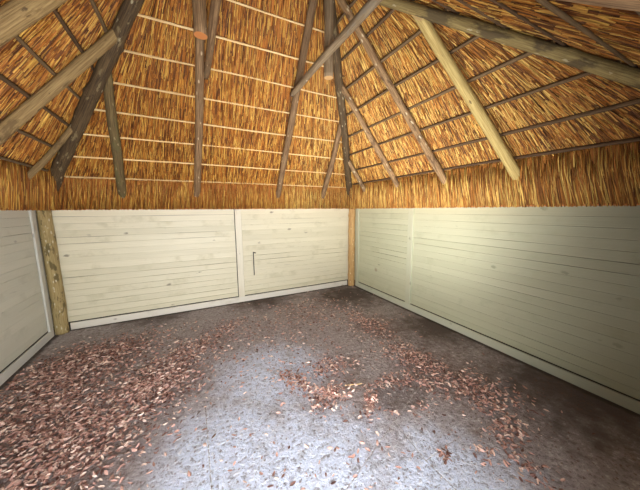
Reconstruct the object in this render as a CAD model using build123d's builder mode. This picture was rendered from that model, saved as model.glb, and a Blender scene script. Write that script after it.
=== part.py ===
"""Thatched hut on a rectangular plan: board walls, pole roof frame and a hipped reed roof.

Millimetres, +Z up. The origin is on the ground under the middle of the room, and the doorway
is in the front wall, towards -Y. The roof is a short ridge with a hip to each corner. Every
pole, lath and reed layer is set out from the underside of the thatch on its own side.
"""

import os
from math import atan, cos, hypot, sin

from build123d import *

os.makedirs("parts", exist_ok=True)

# Room and walls
room_width = 4680.0
room_depth = 4804.0
wall_height = 1600.0
wall_thickness = 90.0
floor_thickness = 120.0

# Doorway in the front wall
door_centre = -670.0
door_width = 900.0
jamb_thickness = 30.0
jamb_depth = 110.0

# Corner posts and wall plates
post_diameter = 140.0
plate_thickness = 30.0
plate_projection = 80.0

# Board trim inside the room
skirting_height = 95.0
skirting_thickness = 18.0
batten_width = 100.0
batten_thickness = 25.0
trim_width = 90.0
trim_thickness = 20.0
back_batten_place = 42.0
side_batten_place = 822.0

# Iron wall hook
hook_place = 270.0
hook_bottom = 447.0
hook_length = 412.0
hook_width = 14.0
hook_thickness = 6.0
hook_arm = 46.0

# Roof form, measured on the underside of the thatch above the wall top
ridge_rise = 2076.0
ridge_left = -655.0
ridge_right = 589.0
ridge_place = 235.0
foot_ends = 65.0
foot_left = 60.0
foot_right = 20.0
thatch_height = 262.0
overhang_ends = 300.0
overhang_sides = 170.0
ridge_roll_radius = 150.0
ridge_roll_sink = 60.0

# Courses on the outside of the thatch, each one proud at its lower edge
course_first = -50.0
course_rows = 7
course_step = 15.0
course_cover = 170.0

# Trimmed thatch over the doorway
arch_radius = 650.0
arch_centre_drop = 350.0

# Poles and laths
lath_diameter_ends = 18.0
lath_diameter_sides = 30.0
lath_first_ends = 390.0
lath_first_sides = 434.0
lath_pitch = 201.0
lath_rows = 8
ridge_pole_diameter = 110.0
hip_diameters = {"back_left": 116.0, "back_right": 100.0, "front_right": 78.0, "front_left": 100.0}
tie_rise = 1328.0
left_tie_place = -428.0
left_tie_diameter = 62.0
right_tie_place = 500.0
right_tie_diameter = 66.0
left_king_diameter = 96.0
left_king_bottom = 1264.0
right_king_diameter = 84.0
right_king_bottom = 1201.0

# Each rafter: its place along the wall at the wall top, the same at head_rise, its diameter
head_rise = 1200.0
rafters = {
    "back": [(-1470, -1260, 92), (-575, -505, 86), (698, 565, 88), (1558, 1277, 84)],
    "front": [(-1480, -1294, 84), (-565, -499, 96), (200, 150, 88), (2050, 1900, 76)],
    "right": [(1622, 1446, 66), (812, 786, 70), (-3, 124, 74), (-783, -494, 86), (-1728, -1428, 76)],
    "left": [(1580, 1410, 54), (714, 782, 86), (-85, 71, 106), (-728, -468, 92), (-1728, -1428, 76)],
}

# Reed apron that hangs from the lowest lath to the wall top, with a belly part of the way down
apron_depth_ends = 176.0
apron_depth_sides = 226.0
belly_rise_ends = 150.0
belly_rise_sides = 240.0
belly_depth = 110.0
apron_lift = 14.0
apron_top_gap = 25.0

# Clearances
seat_gap = 0.3
clear_reach = 9000.0

# Worked out from the sizes above
half_width = room_width / 2
half_depth = room_depth / 2
wall_top = floor_thickness + wall_height
plate_top = wall_top + plate_thickness
outer_width = room_width + 2 * wall_thickness
outer_depth = room_depth + 2 * wall_thickness
post_inset = post_diameter / 2 + seat_gap
hip_top_depth = max(lath_diameter_ends, lath_diameter_sides) + 2 * seat_gap
ridge_depth = hip_top_depth + ridge_pole_diameter / 2
up = Vector(0, 0, 1)


class RoofSide:
    """One slope of the roof, set out from the underside of its thatch."""

    def __init__(self, outward, ridge, foot_out, wall_face, overhang, laths, apron):
        self.outward = Vector(*outward, 0)
        self.along = Vector(abs(outward[1]), abs(outward[0]), 0)
        self.wall_face = wall_face
        self.foot = wall_face + foot_out
        self.ridge = ridge
        self.eaves = wall_face + wall_thickness + overhang
        self.lath_first, self.lath_diameter = laths
        self.pole_top_depth = self.lath_diameter + 2 * seat_gap
        self.belly_rise, self.apron_depth = apron
        self.slope = ridge_rise / (self.foot - ridge)
        self.angle = atan(self.slope)
        self.section = Plane(
            origin=up * wall_top, x_dir=self.outward, z_dir=self.outward.cross(up)
        )

    def distance(self, rise, depth=0.0):
        """Distance from the origin to the line that lies depth below the thatch at this rise."""
        return self.foot - rise / self.slope - depth / sin(self.angle)

    def point(self, place, rise, depth):
        """Point at a place along the wall, dropped square to the thatch by depth."""
        normal = self.outward * sin(self.angle) + up * cos(self.angle)
        foot_line = self.outward * (self.foot - rise / self.slope)
        return foot_line + self.along * place + up * (wall_top + rise) - normal * depth


end_laths = (lath_first_ends, lath_diameter_ends)
side_laths = (lath_first_sides, lath_diameter_sides)
end_apron = (belly_rise_ends, apron_depth_ends)
side_apron = (belly_rise_sides, apron_depth_sides)
end_sizes = (foot_ends, half_depth, overhang_ends, end_laths, end_apron)
side_sizes = (half_width, overhang_sides, side_laths, side_apron)
sides = {
    "back": RoofSide((0, 1), ridge_place, *end_sizes),
    "front": RoofSide((0, -1), -ridge_place, *end_sizes),
    "right": RoofSide((1, 0), ridge_right, foot_right, *side_sizes),
    "left": RoofSide((-1, 0), -ridge_left, foot_left, *side_sizes),
}
hip_corners = {
    "back_left": ("back", "left", ridge_left),
    "back_right": ("back", "right", ridge_right),
    "front_right": ("front", "right", ridge_right),
    "front_left": ("front", "left", ridge_left),
}


def save(part, name):
    """Label a finished piece and write its STEP file."""
    part.label = name
    export_step(part, f"parts/{name}.step")


def round_pole(start, end, radius):
    """A straight round pole between two points, kept out of any part being built."""
    reach = end - start
    axis = Plane(origin=start, z_dir=reach)
    return axis * Cylinder(
        radius, reach.length, align=(Align.CENTER, Align.CENTER, Align.MIN), mode=Mode.PRIVATE
    )


def block(low, high):
    """A plain block between two corners, kept out of any part being built."""
    size = Vector(*high) - Vector(*low)
    return Pos(*low) * Box(
        size.X, size.Y, size.Z, align=(Align.MIN, Align.MIN, Align.MIN), mode=Mode.PRIVATE
    )


def hip_point(corner, rise, depth):
    """Point on a hip line, below both of its slopes by depth."""
    end_name, side_name, _ = hip_corners[corner]
    end = sides[end_name]
    side = sides[side_name]
    reach = end.outward * end.distance(rise, depth) + side.outward * side.distance(rise, depth)
    return reach + up * (wall_top + rise)


def plan_region(name):
    """Upright prism over one slope's own part of the plan, split from its neighbours at the hips."""
    corners = []
    for corner, (end_name, side_name, ridge_end) in hip_corners.items():
        if name in (end_name, side_name):
            top = Vector(ridge_end, ridge_place, 0)
            foot = hip_point(corner, 0, 0)
            foot = Vector(foot.X, foot.Y, 0)
            corners.append((top, foot + (foot - top)))
    (top_a, out_a), (top_b, out_b) = corners
    outline = [top_a, out_a, out_b] if top_a == top_b else [top_a, out_a, out_b, top_b]
    with BuildPart(mode=Mode.PRIVATE) as prism:
        with BuildSketch(Plane.XY):
            with BuildLine():
                Polyline(*outline, close=True)
            make_face()
            offset(amount=-seat_gap / 2, kind=Kind.INTERSECTION)
        extrude(amount=clear_reach)
    return prism.part


def roof_solid(lift):
    """The hipped space under the thatch, raised by lift, as one solid for cutting."""
    with BuildPart(mode=Mode.PRIVATE) as solid:
        with BuildSketch(Plane.YZ):
            with BuildLine():
                low = wall_top - clear_reach / 4
                across = sides["back"].distance(-clear_reach / 4)
                against = sides["front"].distance(-clear_reach / 4)
                Polyline(
                    (-against, low + lift),
                    (ridge_place, wall_top + ridge_rise + lift),
                    (across, low + lift),
                    close=True,
                )
            make_face()
        extrude(amount=clear_reach, both=True)
        with BuildSketch(Plane.XZ):
            with BuildLine():
                right_low = sides["right"].distance(-clear_reach / 4)
                left_low = -sides["left"].distance(-clear_reach / 4)
                Polyline(
                    (left_low, low + lift),
                    (ridge_left, wall_top + ridge_rise + lift),
                    (ridge_right, wall_top + ridge_rise + lift),
                    (right_low, low + lift),
                    close=True,
                )
            make_face()
        extrude(amount=clear_reach, both=True, mode=Mode.INTERSECT)
    return solid.part


# Floor slab
with BuildPart() as floor_slab:
    with BuildSketch(Plane.XY):
        Rectangle(outer_width, outer_depth)
    extrude(amount=floor_thickness)
save(floor_slab.part, "floor_slab")

# Walls: back and front run past the corners, left and right stand between them
wall_runs = {
    "back_wall": ((-outer_width / 2, half_depth), (outer_width / 2, half_depth + wall_thickness)),
    "left_wall": (
        (-half_width - wall_thickness, -half_depth + seat_gap),
        (-half_width, half_depth - seat_gap),
    ),
    "right_wall": (
        (half_width, -half_depth + seat_gap),
        (half_width + wall_thickness, half_depth - seat_gap),
    ),
    "front_wall_left": (
        (-outer_width / 2, -half_depth - wall_thickness),
        (door_centre - door_width / 2 - jamb_thickness - seat_gap, -half_depth),
    ),
    "front_wall_right": (
        (door_centre + door_width / 2 + jamb_thickness + seat_gap, -half_depth - wall_thickness),
        (outer_width / 2, -half_depth),
    ),
}
for name, (low, high) in wall_runs.items():
    with BuildPart() as wall:
        add(block((*low, floor_thickness), (*high, wall_top)))
    save(wall.part, name)

# Door jambs on both sides of the opening
with BuildPart() as door_jambs:
    for hand in (-1, 1):
        near = door_centre + hand * door_width / 2
        far = near + hand * jamb_thickness
        back_edge = -half_depth - wall_thickness / 2 + jamb_depth / 2
        add(
            block(
                (min(near, far), back_edge - jamb_depth, floor_thickness),
                (max(near, far), back_edge, wall_top),
            )
        )
save(door_jambs.part, "door_jambs")

# Corner posts, round poles in the room's corners
post_places = {
    "back_left_post": (-half_width + post_inset, half_depth - post_inset),
    "back_right_post": (half_width - post_inset, half_depth - post_inset),
    "front_right_post": (half_width - post_inset, -half_depth + post_inset),
    "front_left_post": (-half_width + post_inset, -half_depth + post_inset),
}
for name, place in post_places.items():
    with BuildPart() as post:
        with BuildSketch(Plane.XY.offset(floor_thickness)):
            with Locations(place):
                Circle(post_diameter / 2)
        extrude(amount=wall_height)
    save(post.part, name)

# Wall plates, planks laid flat on the wall tops and proud of them inside the room
plate_end = half_depth - plate_projection - seat_gap
plate_runs = {
    "back_plate": (
        (-outer_width / 2, half_depth - plate_projection),
        (outer_width / 2, outer_depth / 2),
    ),
    "front_plate": (
        (-outer_width / 2, -outer_depth / 2),
        (outer_width / 2, -half_depth + plate_projection),
    ),
    "left_plate": (
        (-outer_width / 2, -plate_end),
        (-half_width + plate_projection, plate_end),
    ),
    "right_plate": (
        (half_width - plate_projection, -plate_end),
        (outer_width / 2, plate_end),
    ),
}
for name, (low, high) in plate_runs.items():
    with BuildPart() as plate:
        add(block((*low, wall_top), (*high, plate_top)))
    save(plate.part, name)

# Skirting boards between the posts and beside the doorway
post_edge_x = half_width - post_diameter - 2 * seat_gap
post_edge_y = half_depth - post_diameter - 2 * seat_gap
skirt_top = floor_thickness + skirting_height
door_left = door_centre - door_width / 2
door_right = door_centre + door_width / 2
with BuildPart() as skirting_boards:
    face_y = half_depth - skirting_thickness
    face_x = half_width - skirting_thickness
    add(block((-post_edge_x, face_y, floor_thickness), (post_edge_x, half_depth, skirt_top)))
    add(block((-post_edge_x, -half_depth, floor_thickness), (door_left, -face_y, skirt_top)))
    add(block((door_right, -half_depth, floor_thickness), (post_edge_x, -face_y, skirt_top)))
    add(block((face_x, -post_edge_y, floor_thickness), (half_width, post_edge_y, skirt_top)))
    add(block((-half_width, -post_edge_y, floor_thickness), (-face_x, post_edge_y, skirt_top)))
    for hand in (-1, 1):
        jamb_face = -half_depth - wall_thickness / 2 + jamb_depth / 2
        near = door_centre + hand * door_width / 2
        far = near + hand * (jamb_thickness + seat_gap)
        notch = block(
            (min(near, far), -half_depth, floor_thickness),
            (max(near, far), jamb_face + clear_reach / 100, skirt_top),
        )
        add(notch, mode=Mode.SUBTRACT)
save(skirting_boards.part, "skirting_boards")

# Battens that cover the joints between board lengths
batten_bottom = skirt_top
with BuildPart() as wall_battens:
    add(
        block(
            (back_batten_place - batten_width / 2, half_depth - batten_thickness, batten_bottom),
            (back_batten_place + batten_width / 2, half_depth, wall_top),
        )
    )
    for hand in (-1, 1):
        wall_face = hand * half_width
        room_face = hand * (half_width - batten_thickness)
        add(
            block(
                (min(wall_face, room_face), side_batten_place - batten_width / 2, batten_bottom),
                (max(wall_face, room_face), side_batten_place + batten_width / 2, wall_top),
            )
        )
save(wall_battens.part, "wall_battens")

# Trim strips beside the corner posts
with BuildPart() as corner_trims:
    for hand_x in (-1, 1):
        for hand_y in (-1, 1):
            wall_face = hand_x * half_width
            room_face = hand_x * (half_width - trim_thickness)
            post_side = hand_y * post_edge_y
            far_side = hand_y * (post_edge_y - trim_width)
            add(
                block(
                    (min(wall_face, room_face), min(post_side, far_side), skirt_top),
                    (max(wall_face, room_face), max(post_side, far_side), wall_top),
                )
            )
save(corner_trims.part, "corner_trims")

# Iron hook on the back wall: a strap with a short arm at its head
hook_top = floor_thickness + hook_bottom + hook_length
with BuildPart() as wall_hook:
    with BuildSketch(Plane.XZ.offset(-half_depth)):
        with BuildLine():
            Polyline(
                (hook_place - hook_width / 2, floor_thickness + hook_bottom),
                (hook_place - hook_width / 2, hook_top),
                (hook_place + hook_width / 2, hook_top),
                (hook_place + hook_arm, hook_top - hook_width),
                (hook_place + hook_arm - hook_width / 2, hook_top - 2 * hook_width),
                (hook_place + hook_width / 2, hook_top - 1.5 * hook_width),
                (hook_place + hook_width / 2, floor_thickness + hook_bottom),
                close=True,
            )
        make_face()
    extrude(amount=hook_thickness)
save(wall_hook.part, "wall_hook")

# Ridge pole, with its ends where the hips meet it
run_sum = sides["back"].foot + sides["front"].foot
run_per_rise = 1 / sides["back"].slope + 1 / sides["front"].slope
run_per_depth = 1 / sin(sides["back"].angle) + 1 / sin(sides["front"].angle)
pole_rise = (run_sum - ridge_depth * run_per_depth) / run_per_rise
pole_y = sides["back"].distance(pole_rise, ridge_depth)
pole_left = Vector(-sides["left"].distance(pole_rise, ridge_depth), pole_y, wall_top + pole_rise)
pole_right = Vector(sides["right"].distance(pole_rise, ridge_depth), pole_y, wall_top + pole_rise)
ridge_radius = ridge_pole_diameter / 2
with BuildPart() as ridge_pole:
    add(round_pole(pole_left, pole_right, ridge_radius))
save(ridge_pole.part, "ridge_pole")
ridge_cutter = round_pole(pole_left, pole_right, ridge_radius + seat_gap)

# King posts hang under the ridge pole beside the collar ties
king_sizes = {
    "left_king_post": (
        left_tie_place - (left_tie_diameter + left_king_diameter) / 2 - seat_gap,
        left_king_diameter / 2,
        left_king_bottom,
    ),
    "right_king_post": (
        right_tie_place + (right_tie_diameter + right_king_diameter) / 2 + seat_gap,
        right_king_diameter / 2,
        right_king_bottom,
    ),
}
king_cutters = []
for name, (place, radius, bottom) in king_sizes.items():
    low = Vector(place, pole_y, wall_top + bottom)
    high = Vector(place, pole_y, wall_top + pole_rise)
    with BuildPart() as king_post:
        add(round_pole(low, high, radius))
        add(ridge_cutter, mode=Mode.SUBTRACT)
    save(king_post.part, name)
    king_cutters.append(round_pole(low, high, radius + seat_gap))

# Space below the top of the wall plates, which cuts every rafter foot level
below_plates = block(
    (-clear_reach, -clear_reach, 0), (clear_reach, clear_reach, plate_top + seat_gap)
)

# Hip rafters from the corners to the ends of the ridge pole
hip_cutters = {}
for corner, (end_name, side_name, _) in hip_corners.items():
    hip_radius = hip_diameters[corner] / 2
    hip_depth = hip_top_depth + hip_radius
    low = hip_point(corner, -2 * hip_radius, hip_depth)
    high = hip_point(corner, pole_rise + ridge_radius / 2, hip_depth)
    hand = sides[end_name].outward.Y
    other_half = block(
        (-clear_reach, pole_y - seat_gap / 2, 0), (clear_reach, pole_y + clear_reach, clear_reach)
    )
    if hand > 0:
        other_half = block(
            (-clear_reach, pole_y - clear_reach, 0), (clear_reach, pole_y + seat_gap / 2, clear_reach)
        )
    with BuildPart() as hip:
        add(round_pole(low, high, hip_radius))
        add(below_plates, mode=Mode.SUBTRACT)
        add(ridge_cutter, mode=Mode.SUBTRACT)
        add(other_half, mode=Mode.SUBTRACT)
        for cutter in king_cutters:
            add(cutter, mode=Mode.SUBTRACT)
        add(hip.part.solids().sort_by(SortBy.VOLUME)[-1], mode=Mode.REPLACE)
    save(hip.part, f"{corner}_hip_rafter")
    hip_cutters[corner] = round_pole(low, high, hip_radius + seat_gap)

# Rafters of each slope, cut level on the plate and scribed to the hips and the ridge pole
regions = {name: plan_region(name) for name in sides}
rafter_cutters = {name: [] for name in sides}
for name, side in sides.items():
    with BuildPart() as rafter_set:
        for foot_place, head_place, diameter in rafters[name]:
            drift = (head_place - foot_place) / head_rise
            depth = side.pole_top_depth + diameter / 2
            low = side.point(foot_place - drift * diameter, -diameter, depth)
            high = side.point(foot_place + drift * ridge_rise, ridge_rise, depth)
            add(round_pole(low, high, diameter / 2))
            rafter_cutters[name].append(round_pole(low, high, diameter / 2 + seat_gap))
        add(regions[name], mode=Mode.INTERSECT)
        add(below_plates, mode=Mode.SUBTRACT)
        add(ridge_cutter, mode=Mode.SUBTRACT)
        for cutter in list(hip_cutters.values()) + king_cutters:
            add(cutter, mode=Mode.SUBTRACT)
        whole = rafter_set.part.solids().sort_by(SortBy.VOLUME)[-len(rafters[name]):]
        add(whole, mode=Mode.REPLACE)
    save(rafter_set.part, f"{name}_rafters")

# Collar ties, level poles across the room from back slope to front slope
tie_sizes = {
    "left_collar_tie": (left_tie_place, left_tie_diameter / 2),
    "right_collar_tie": (right_tie_place, right_tie_diameter / 2),
}
for name, (place, radius) in tie_sizes.items():
    tie_back = sides["back"].distance(tie_rise + radius, sides["back"].pole_top_depth)
    tie_front = sides["front"].distance(tie_rise + radius, sides["front"].pole_top_depth)
    with BuildPart() as tie:
        add(
            round_pole(
                Vector(place, -tie_front, wall_top + tie_rise),
                Vector(place, tie_back, wall_top + tie_rise),
                radius,
            )
        )
        for cutter in rafter_cutters["back"] + rafter_cutters["front"]:
            add(cutter, mode=Mode.SUBTRACT)
    save(tie.part, name)

# Laths, level rows under the thatch with their ends at the hips
for name, side in sides.items():
    lath_depth = side.lath_diameter / 2 + seat_gap
    with BuildPart() as lath_set:
        for row in range(lath_rows):
            rise = side.lath_first + row * lath_pitch
            low = side.point(-clear_reach / 2, rise, lath_depth)
            high = side.point(clear_reach / 2, rise, lath_depth)
            add(round_pole(low, high, side.lath_diameter / 2))
        add(regions[name], mode=Mode.INTERSECT)
    save(lath_set.part, f"{name}_laths")

# Thatch slopes, bedded on the wall head and trimmed back over the doorway
wall_head = block(
    (-outer_width / 2 - seat_gap, -outer_depth / 2 - seat_gap, 0),
    (outer_width / 2 + seat_gap, outer_depth / 2 + seat_gap, plate_top + seat_gap),
)
arch_axis = Plane.XZ.offset(outer_depth / 2 + seat_gap)
course_top = ridge_rise - course_cover
course_pitch = (course_top - course_first) / course_rows
for name, side in sides.items():
    eaves_drop = (side.eaves - side.foot) * side.slope
    courses = [(side.distance(course_top), course_top + thatch_height)]
    for row in reversed(range(course_rows)):
        rise = course_first + row * course_pitch
        courses.append((side.distance(rise), rise + thatch_height + course_step))
        courses.append((side.distance(rise), rise + thatch_height))
    with BuildPart() as thatch:
        with BuildSketch(side.section):
            with BuildLine():
                Polyline(
                    (side.eaves, -eaves_drop),
                    (side.ridge, ridge_rise),
                    (side.ridge, ridge_rise + thatch_height),
                    *courses,
                    (side.eaves, thatch_height - eaves_drop),
                    close=True,
                )
            make_face()
        extrude(amount=clear_reach / 2, both=True)
        add(regions[name], mode=Mode.INTERSECT)
        add(
            block(
                (-sides["left"].eaves, -sides["front"].eaves, 0),
                (sides["right"].eaves, sides["back"].eaves, clear_reach),
            ),
            mode=Mode.INTERSECT,
        )
        add(wall_head, mode=Mode.SUBTRACT)
        if name == "front":
            with BuildSketch(arch_axis):
                with Locations((door_centre, wall_top - arch_centre_drop)):
                    Circle(arch_radius)
            extrude(amount=clear_reach / 4, mode=Mode.SUBTRACT)
    save(thatch.part, f"{name}_thatch")

# Reed aprons between the lowest lath and the wall top, with the rafters passing through
for name, side in sides.items():
    plate_face = side.wall_face - plate_projection - seat_gap
    apron_top = side.lath_first - apron_top_gap
    over_plate = plate_thickness + seat_gap
    with BuildPart() as apron:
        with BuildSketch(side.section):
            with BuildLine():
                Polyline(
                    (side.distance(apron_top, seat_gap), apron_top),
                    (side.distance(side.belly_rise, belly_depth), side.belly_rise),
                    (side.distance(apron_lift, side.apron_depth), apron_lift),
                    (plate_face, apron_lift),
                    (plate_face, over_plate),
                    (side.distance(over_plate, seat_gap), over_plate),
                    close=True,
                )
            make_face()
        extrude(amount=clear_reach / 2, both=True)
        add(regions[name], mode=Mode.INTERSECT)
        for cutter in list(hip_cutters.values()) + rafter_cutters[name]:
            add(cutter, mode=Mode.SUBTRACT)
    save(apron.part, f"{name}_apron")

# Reed roll along the ridge, laid over the top of the slopes
roll_axis_height = wall_top + ridge_rise + thatch_height - ridge_roll_sink
with BuildPart() as ridge_roll:
    roll_start = Vector(ridge_left, ridge_place, roll_axis_height)
    roll_end = Vector(ridge_right, ridge_place, roll_axis_height)
    add(round_pole(roll_start, roll_end, ridge_roll_radius))
    with Locations(roll_start, roll_end):
        Sphere(ridge_roll_radius)
    add(roof_solid(thatch_height + seat_gap), mode=Mode.SUBTRACT)
save(ridge_roll.part, "ridge_roll")
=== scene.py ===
# %% [markdown]
# # A thatched hut with a rectangular room
# The camera stands just inside the doorway and sees board walls, round poles, laths and the
# underside of a reed roof. The CAD model holds every main form at its real size. This script adds
# what a maker sees close up: single boards, bent poles, thousands of reeds, dust and dry leaves.
# Lengths are in metres. The origin is on the ground under the middle of the room, and the doorway
# is in the wall towards -Y.

# %% Load the frame
from functools import reduce
from math import atan, cos, pi, radians, sin

import bpy
import numpy as np
from mathutils import Matrix, Vector


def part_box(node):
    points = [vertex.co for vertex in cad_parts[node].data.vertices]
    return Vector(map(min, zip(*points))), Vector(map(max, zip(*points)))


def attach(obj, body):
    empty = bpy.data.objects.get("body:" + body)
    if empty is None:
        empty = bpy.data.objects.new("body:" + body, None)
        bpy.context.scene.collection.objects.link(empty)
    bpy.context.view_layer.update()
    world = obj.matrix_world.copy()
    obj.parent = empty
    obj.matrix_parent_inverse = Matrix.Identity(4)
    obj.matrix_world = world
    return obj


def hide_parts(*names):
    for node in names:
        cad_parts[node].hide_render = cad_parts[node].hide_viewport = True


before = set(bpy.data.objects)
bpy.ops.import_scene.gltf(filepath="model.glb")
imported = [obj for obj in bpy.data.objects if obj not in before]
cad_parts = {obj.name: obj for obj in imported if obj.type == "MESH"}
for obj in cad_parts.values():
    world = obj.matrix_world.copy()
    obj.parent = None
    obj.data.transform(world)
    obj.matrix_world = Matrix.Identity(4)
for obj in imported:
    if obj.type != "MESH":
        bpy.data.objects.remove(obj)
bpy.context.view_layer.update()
print("CAD nodes:", len(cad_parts))

# %% [markdown]
# ## Sizes
# The sizes of floor and walls are read from the CAD nodes, so a change there is followed here.
# The roof is set out as a carpenter would: each slope has a foot line on the wall, a ridge, and a
# rise between them, measured on the underside of the thatch.

# %% Room and wall sizes from the CAD nodes
floor_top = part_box("floor_slab")[1].z
half_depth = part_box("back_wall")[0].y
half_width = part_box("right_wall")[0].x
wall_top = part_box("back_wall")[1].z
plate_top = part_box("back_plate")[1].z
print("half room", round(half_width, 3), "by", round(half_depth, 3), "wall top", round(wall_top, 3))

# %% Roof sizes
ridge_rise, ridge_y, ridge_left, ridge_right = 2.076, 0.235, -0.655, 0.589
foot_ends, foot_left, foot_right = 0.065, 0.060, 0.020
thatch_height = 0.262
course_first, course_rows, course_step = -0.050, 7, 0.015
course_pitch = (ridge_rise - 0.170 - course_first) / course_rows
lath_pitch, lath_rows = 0.201, 8
end_laths, side_laths = (0.390, 0.018), (0.434, 0.030)
hip_top, ridge_pole_thick = 0.0306, 0.110
up = np.array([0.0, 0.0, 1.0])


class Slope:
    """A side of the roof: places along the wall, rises above its top, depths under the reeds."""

    def __init__(self, name, out, foot, ridge, lath_first, lath_thick):
        self.out = np.array([*out, 0.0])
        self.along = np.abs(self.out[[1, 0, 2]])
        self.foot, self.ridge = foot, ridge
        self.eaves = max(np.array(corner) @ self.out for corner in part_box(name + "_thatch"))
        self.lath_first, self.lath_thick = lath_first, lath_thick
        self.pole_top = lath_thick + 0.0006
        self.rate = ridge_rise / (foot - ridge)
        self.angle = atan(self.rate)
        self.normal = self.out * sin(self.angle) + up * cos(self.angle)
        self.uphill = up * sin(self.angle) - self.out * cos(self.angle)

    def distance(self, rise):
        """How far out from the origin the underside of the reeds stands at this rise."""
        return self.foot - rise / self.rate

    def rise(self, distance):
        """How high above the wall top the underside stands at this distance."""
        return (self.foot - distance) * self.rate

    def at(self, distance, place, rise):
        """The point this far out, at a place along the wall and a rise."""
        distance, place, rise = (np.asarray(n, float)[..., None] for n in (distance, place, rise))
        return self.out * distance + self.along * place + up * (wall_top + rise)

    def point(self, place, rise, depth):
        """A point on the underside at a place and a rise, dropped square to the slope by depth."""
        depth = np.asarray(depth, float)[..., None]
        return self.at(self.distance(np.asarray(rise)), place, rise) - self.normal * depth

    def edges(self, rise):
        """The places of the two hips at this rise, where the next slopes stand as high."""
        low, high = self.neighbours
        return -low.distance(rise), high.distance(rise)

    def between(self, distance, share):
        """The place at a share of the way from one hip to the other, at this distance."""
        low, high = self.edges(self.rise(distance))
        return low + (high - low) * share


slopes = {
    "back": Slope("back", (0, 1), half_depth + foot_ends, ridge_y, *end_laths),
    "front": Slope("front", (0, -1), half_depth + foot_ends, -ridge_y, *end_laths),
    "right": Slope("right", (1, 0), half_width + foot_right, ridge_right, *side_laths),
    "left": Slope("left", (-1, 0), half_width + foot_left, -ridge_left, *side_laths),
}
for name, beside in {"back": "left right", "front": "left right",
                     "right": "front back", "left": "front back"}.items():
    slopes[name].neighbours = [slopes[other] for other in beside.split()]
print("roof pitches", {name: round(slope.angle * 180 / pi, 1) for name, slope in slopes.items()})

# %% [markdown]
# ## Shapes from arrays
# Every new piece is made of parts: arrays of points, faces and values per point. A part is either
# a tube, which is a profile carried along a path, or a crowd of small prisms. Arrays are quick
# even for thousands of reeds, and a closed tube never has a hole. The value `grain` says where a
# point lies in its own stick or board, with z along the wood, so the pattern follows each piece.


# %% Parts and pieces
def closed_part(points, quads, tris, **values):
    """A closed part. If its faces point inwards (a negative volume), each face is turned round."""
    quads, tris = np.asarray(quads).reshape(-1, 4), np.asarray(tris, int).reshape(-1, 3)
    local = points - points.mean(0)
    corners = np.concatenate([quads[:, [0, 1, 2]], quads[:, [0, 2, 3]], tris])
    a, b, c = (local[corners[:, i]] for i in range(3))
    if np.einsum("ij,ij->i", a, np.cross(b, c)).sum() < 0:
        quads, tris = quads[:, ::-1], tris[:, ::-1]
    return {"points": points, "quads": quads, "tris": tris, **values}


def ring_quads(index):
    """Faces that join each ring of numbered points to the next one."""
    ahead = np.roll(index, -1, axis=1)
    return np.stack([index[:-1], ahead[:-1], ahead[1:], index[1:]], axis=-1).reshape(-1, 4)


def tube(rows, **values):
    """A profile carried along a path: rows of points (rows, columns, 3), joined ring to ring.

    Each end is closed by a fan of triangles round the mean of its ring.
    """
    count, around = rows.shape[:2]
    index = np.arange(count * around).reshape(count, around)
    ahead = np.roll(index, -1, axis=1)
    first = np.stack([np.full(around, count * around), ahead[0], index[0]], axis=-1)
    last = np.stack([np.full(around, count * around + 1), index[-1], ahead[-1]], axis=-1)

    def with_ends(grid):
        grid = np.asarray(grid, float)
        flat = grid.reshape(count * around, *grid.shape[2:])
        return np.concatenate([flat, grid[:1].mean(1), grid[-1:].mean(1)])

    values = {key: with_ends(value) for key, value in values.items()}
    return closed_part(with_ends(rows), ring_quads(index), np.concatenate([first, last]), **values)


def crowd(points, quads, tris, **values):
    """Many small parts (parts, points, 3) with the same faces, moved on by the points of each."""
    count, each = points.shape[:2]
    moved = (np.arange(count) * each)[:, None, None]
    flat = {key: value.reshape(count * each, *value.shape[2:]) for key, value in values.items()}
    return {"points": points.reshape(-1, 3), "quads": (quads + moved).reshape(-1, 4),
            "tris": (tris + moved).reshape(-1, 3), **flat}


triangle_count = {}


def new_piece(name, parts, material, nodes=(), slot=None, smooth=True):
    """Parts become one mesh object that rides on the hut and stands for the CAD nodes.

    A slot name, the material's own name unless another one is given, is worked out but not kept.
    """
    starts = np.cumsum([0] + [len(part["points"]) for part in parts[:-1]])
    part = {key: np.concatenate([part[key] for part in parts]) for key in parts[0]}
    for key in ("quads", "tris"):
        part[key] = np.concatenate([one[key] + start for one, start in zip(parts, starts)])
    points, quads, tris = (part.pop(key) for key in ("points", "quads", "tris"))
    mesh = bpy.data.meshes.new(name)
    mesh.vertices.add(len(points))
    mesh.vertices.foreach_set("co", points.astype(np.float32).ravel())
    corners = np.concatenate([quads.ravel(), tris.ravel()])
    sizes = np.repeat([4, 3], [len(quads), len(tris)])
    mesh.loops.add(len(corners))
    mesh.loops.foreach_set("vertex_index", corners.astype(np.int32))
    mesh.polygons.add(len(sizes))
    mesh.polygons.foreach_set("loop_start", (np.cumsum(sizes) - sizes).astype(np.int32))
    mesh.polygons.foreach_set("use_smooth", np.full(len(sizes), smooth))
    for key, values in part.items():
        kind, field = ("FLOAT_VECTOR", "vector") if values.ndim == 2 else ("FLOAT", "value")
        held = mesh.attributes.new(key, kind, "POINT")
        held.data.foreach_set(field, values.astype(np.float32).ravel())
    mesh.update(calc_edges=True)
    mesh.materials.append(material)
    piece = bpy.data.objects.new(name, mesh)
    bpy.context.scene.collection.objects.link(piece)
    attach(piece, "root")
    if nodes:
        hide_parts(*nodes)
    slot = material.name.removesuffix("_finish") if slot is None else slot
    triangle_count[name] = 2 * len(quads) + len(tris)
    print(f"{name}: {triangle_count[name]} triangles")


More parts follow.
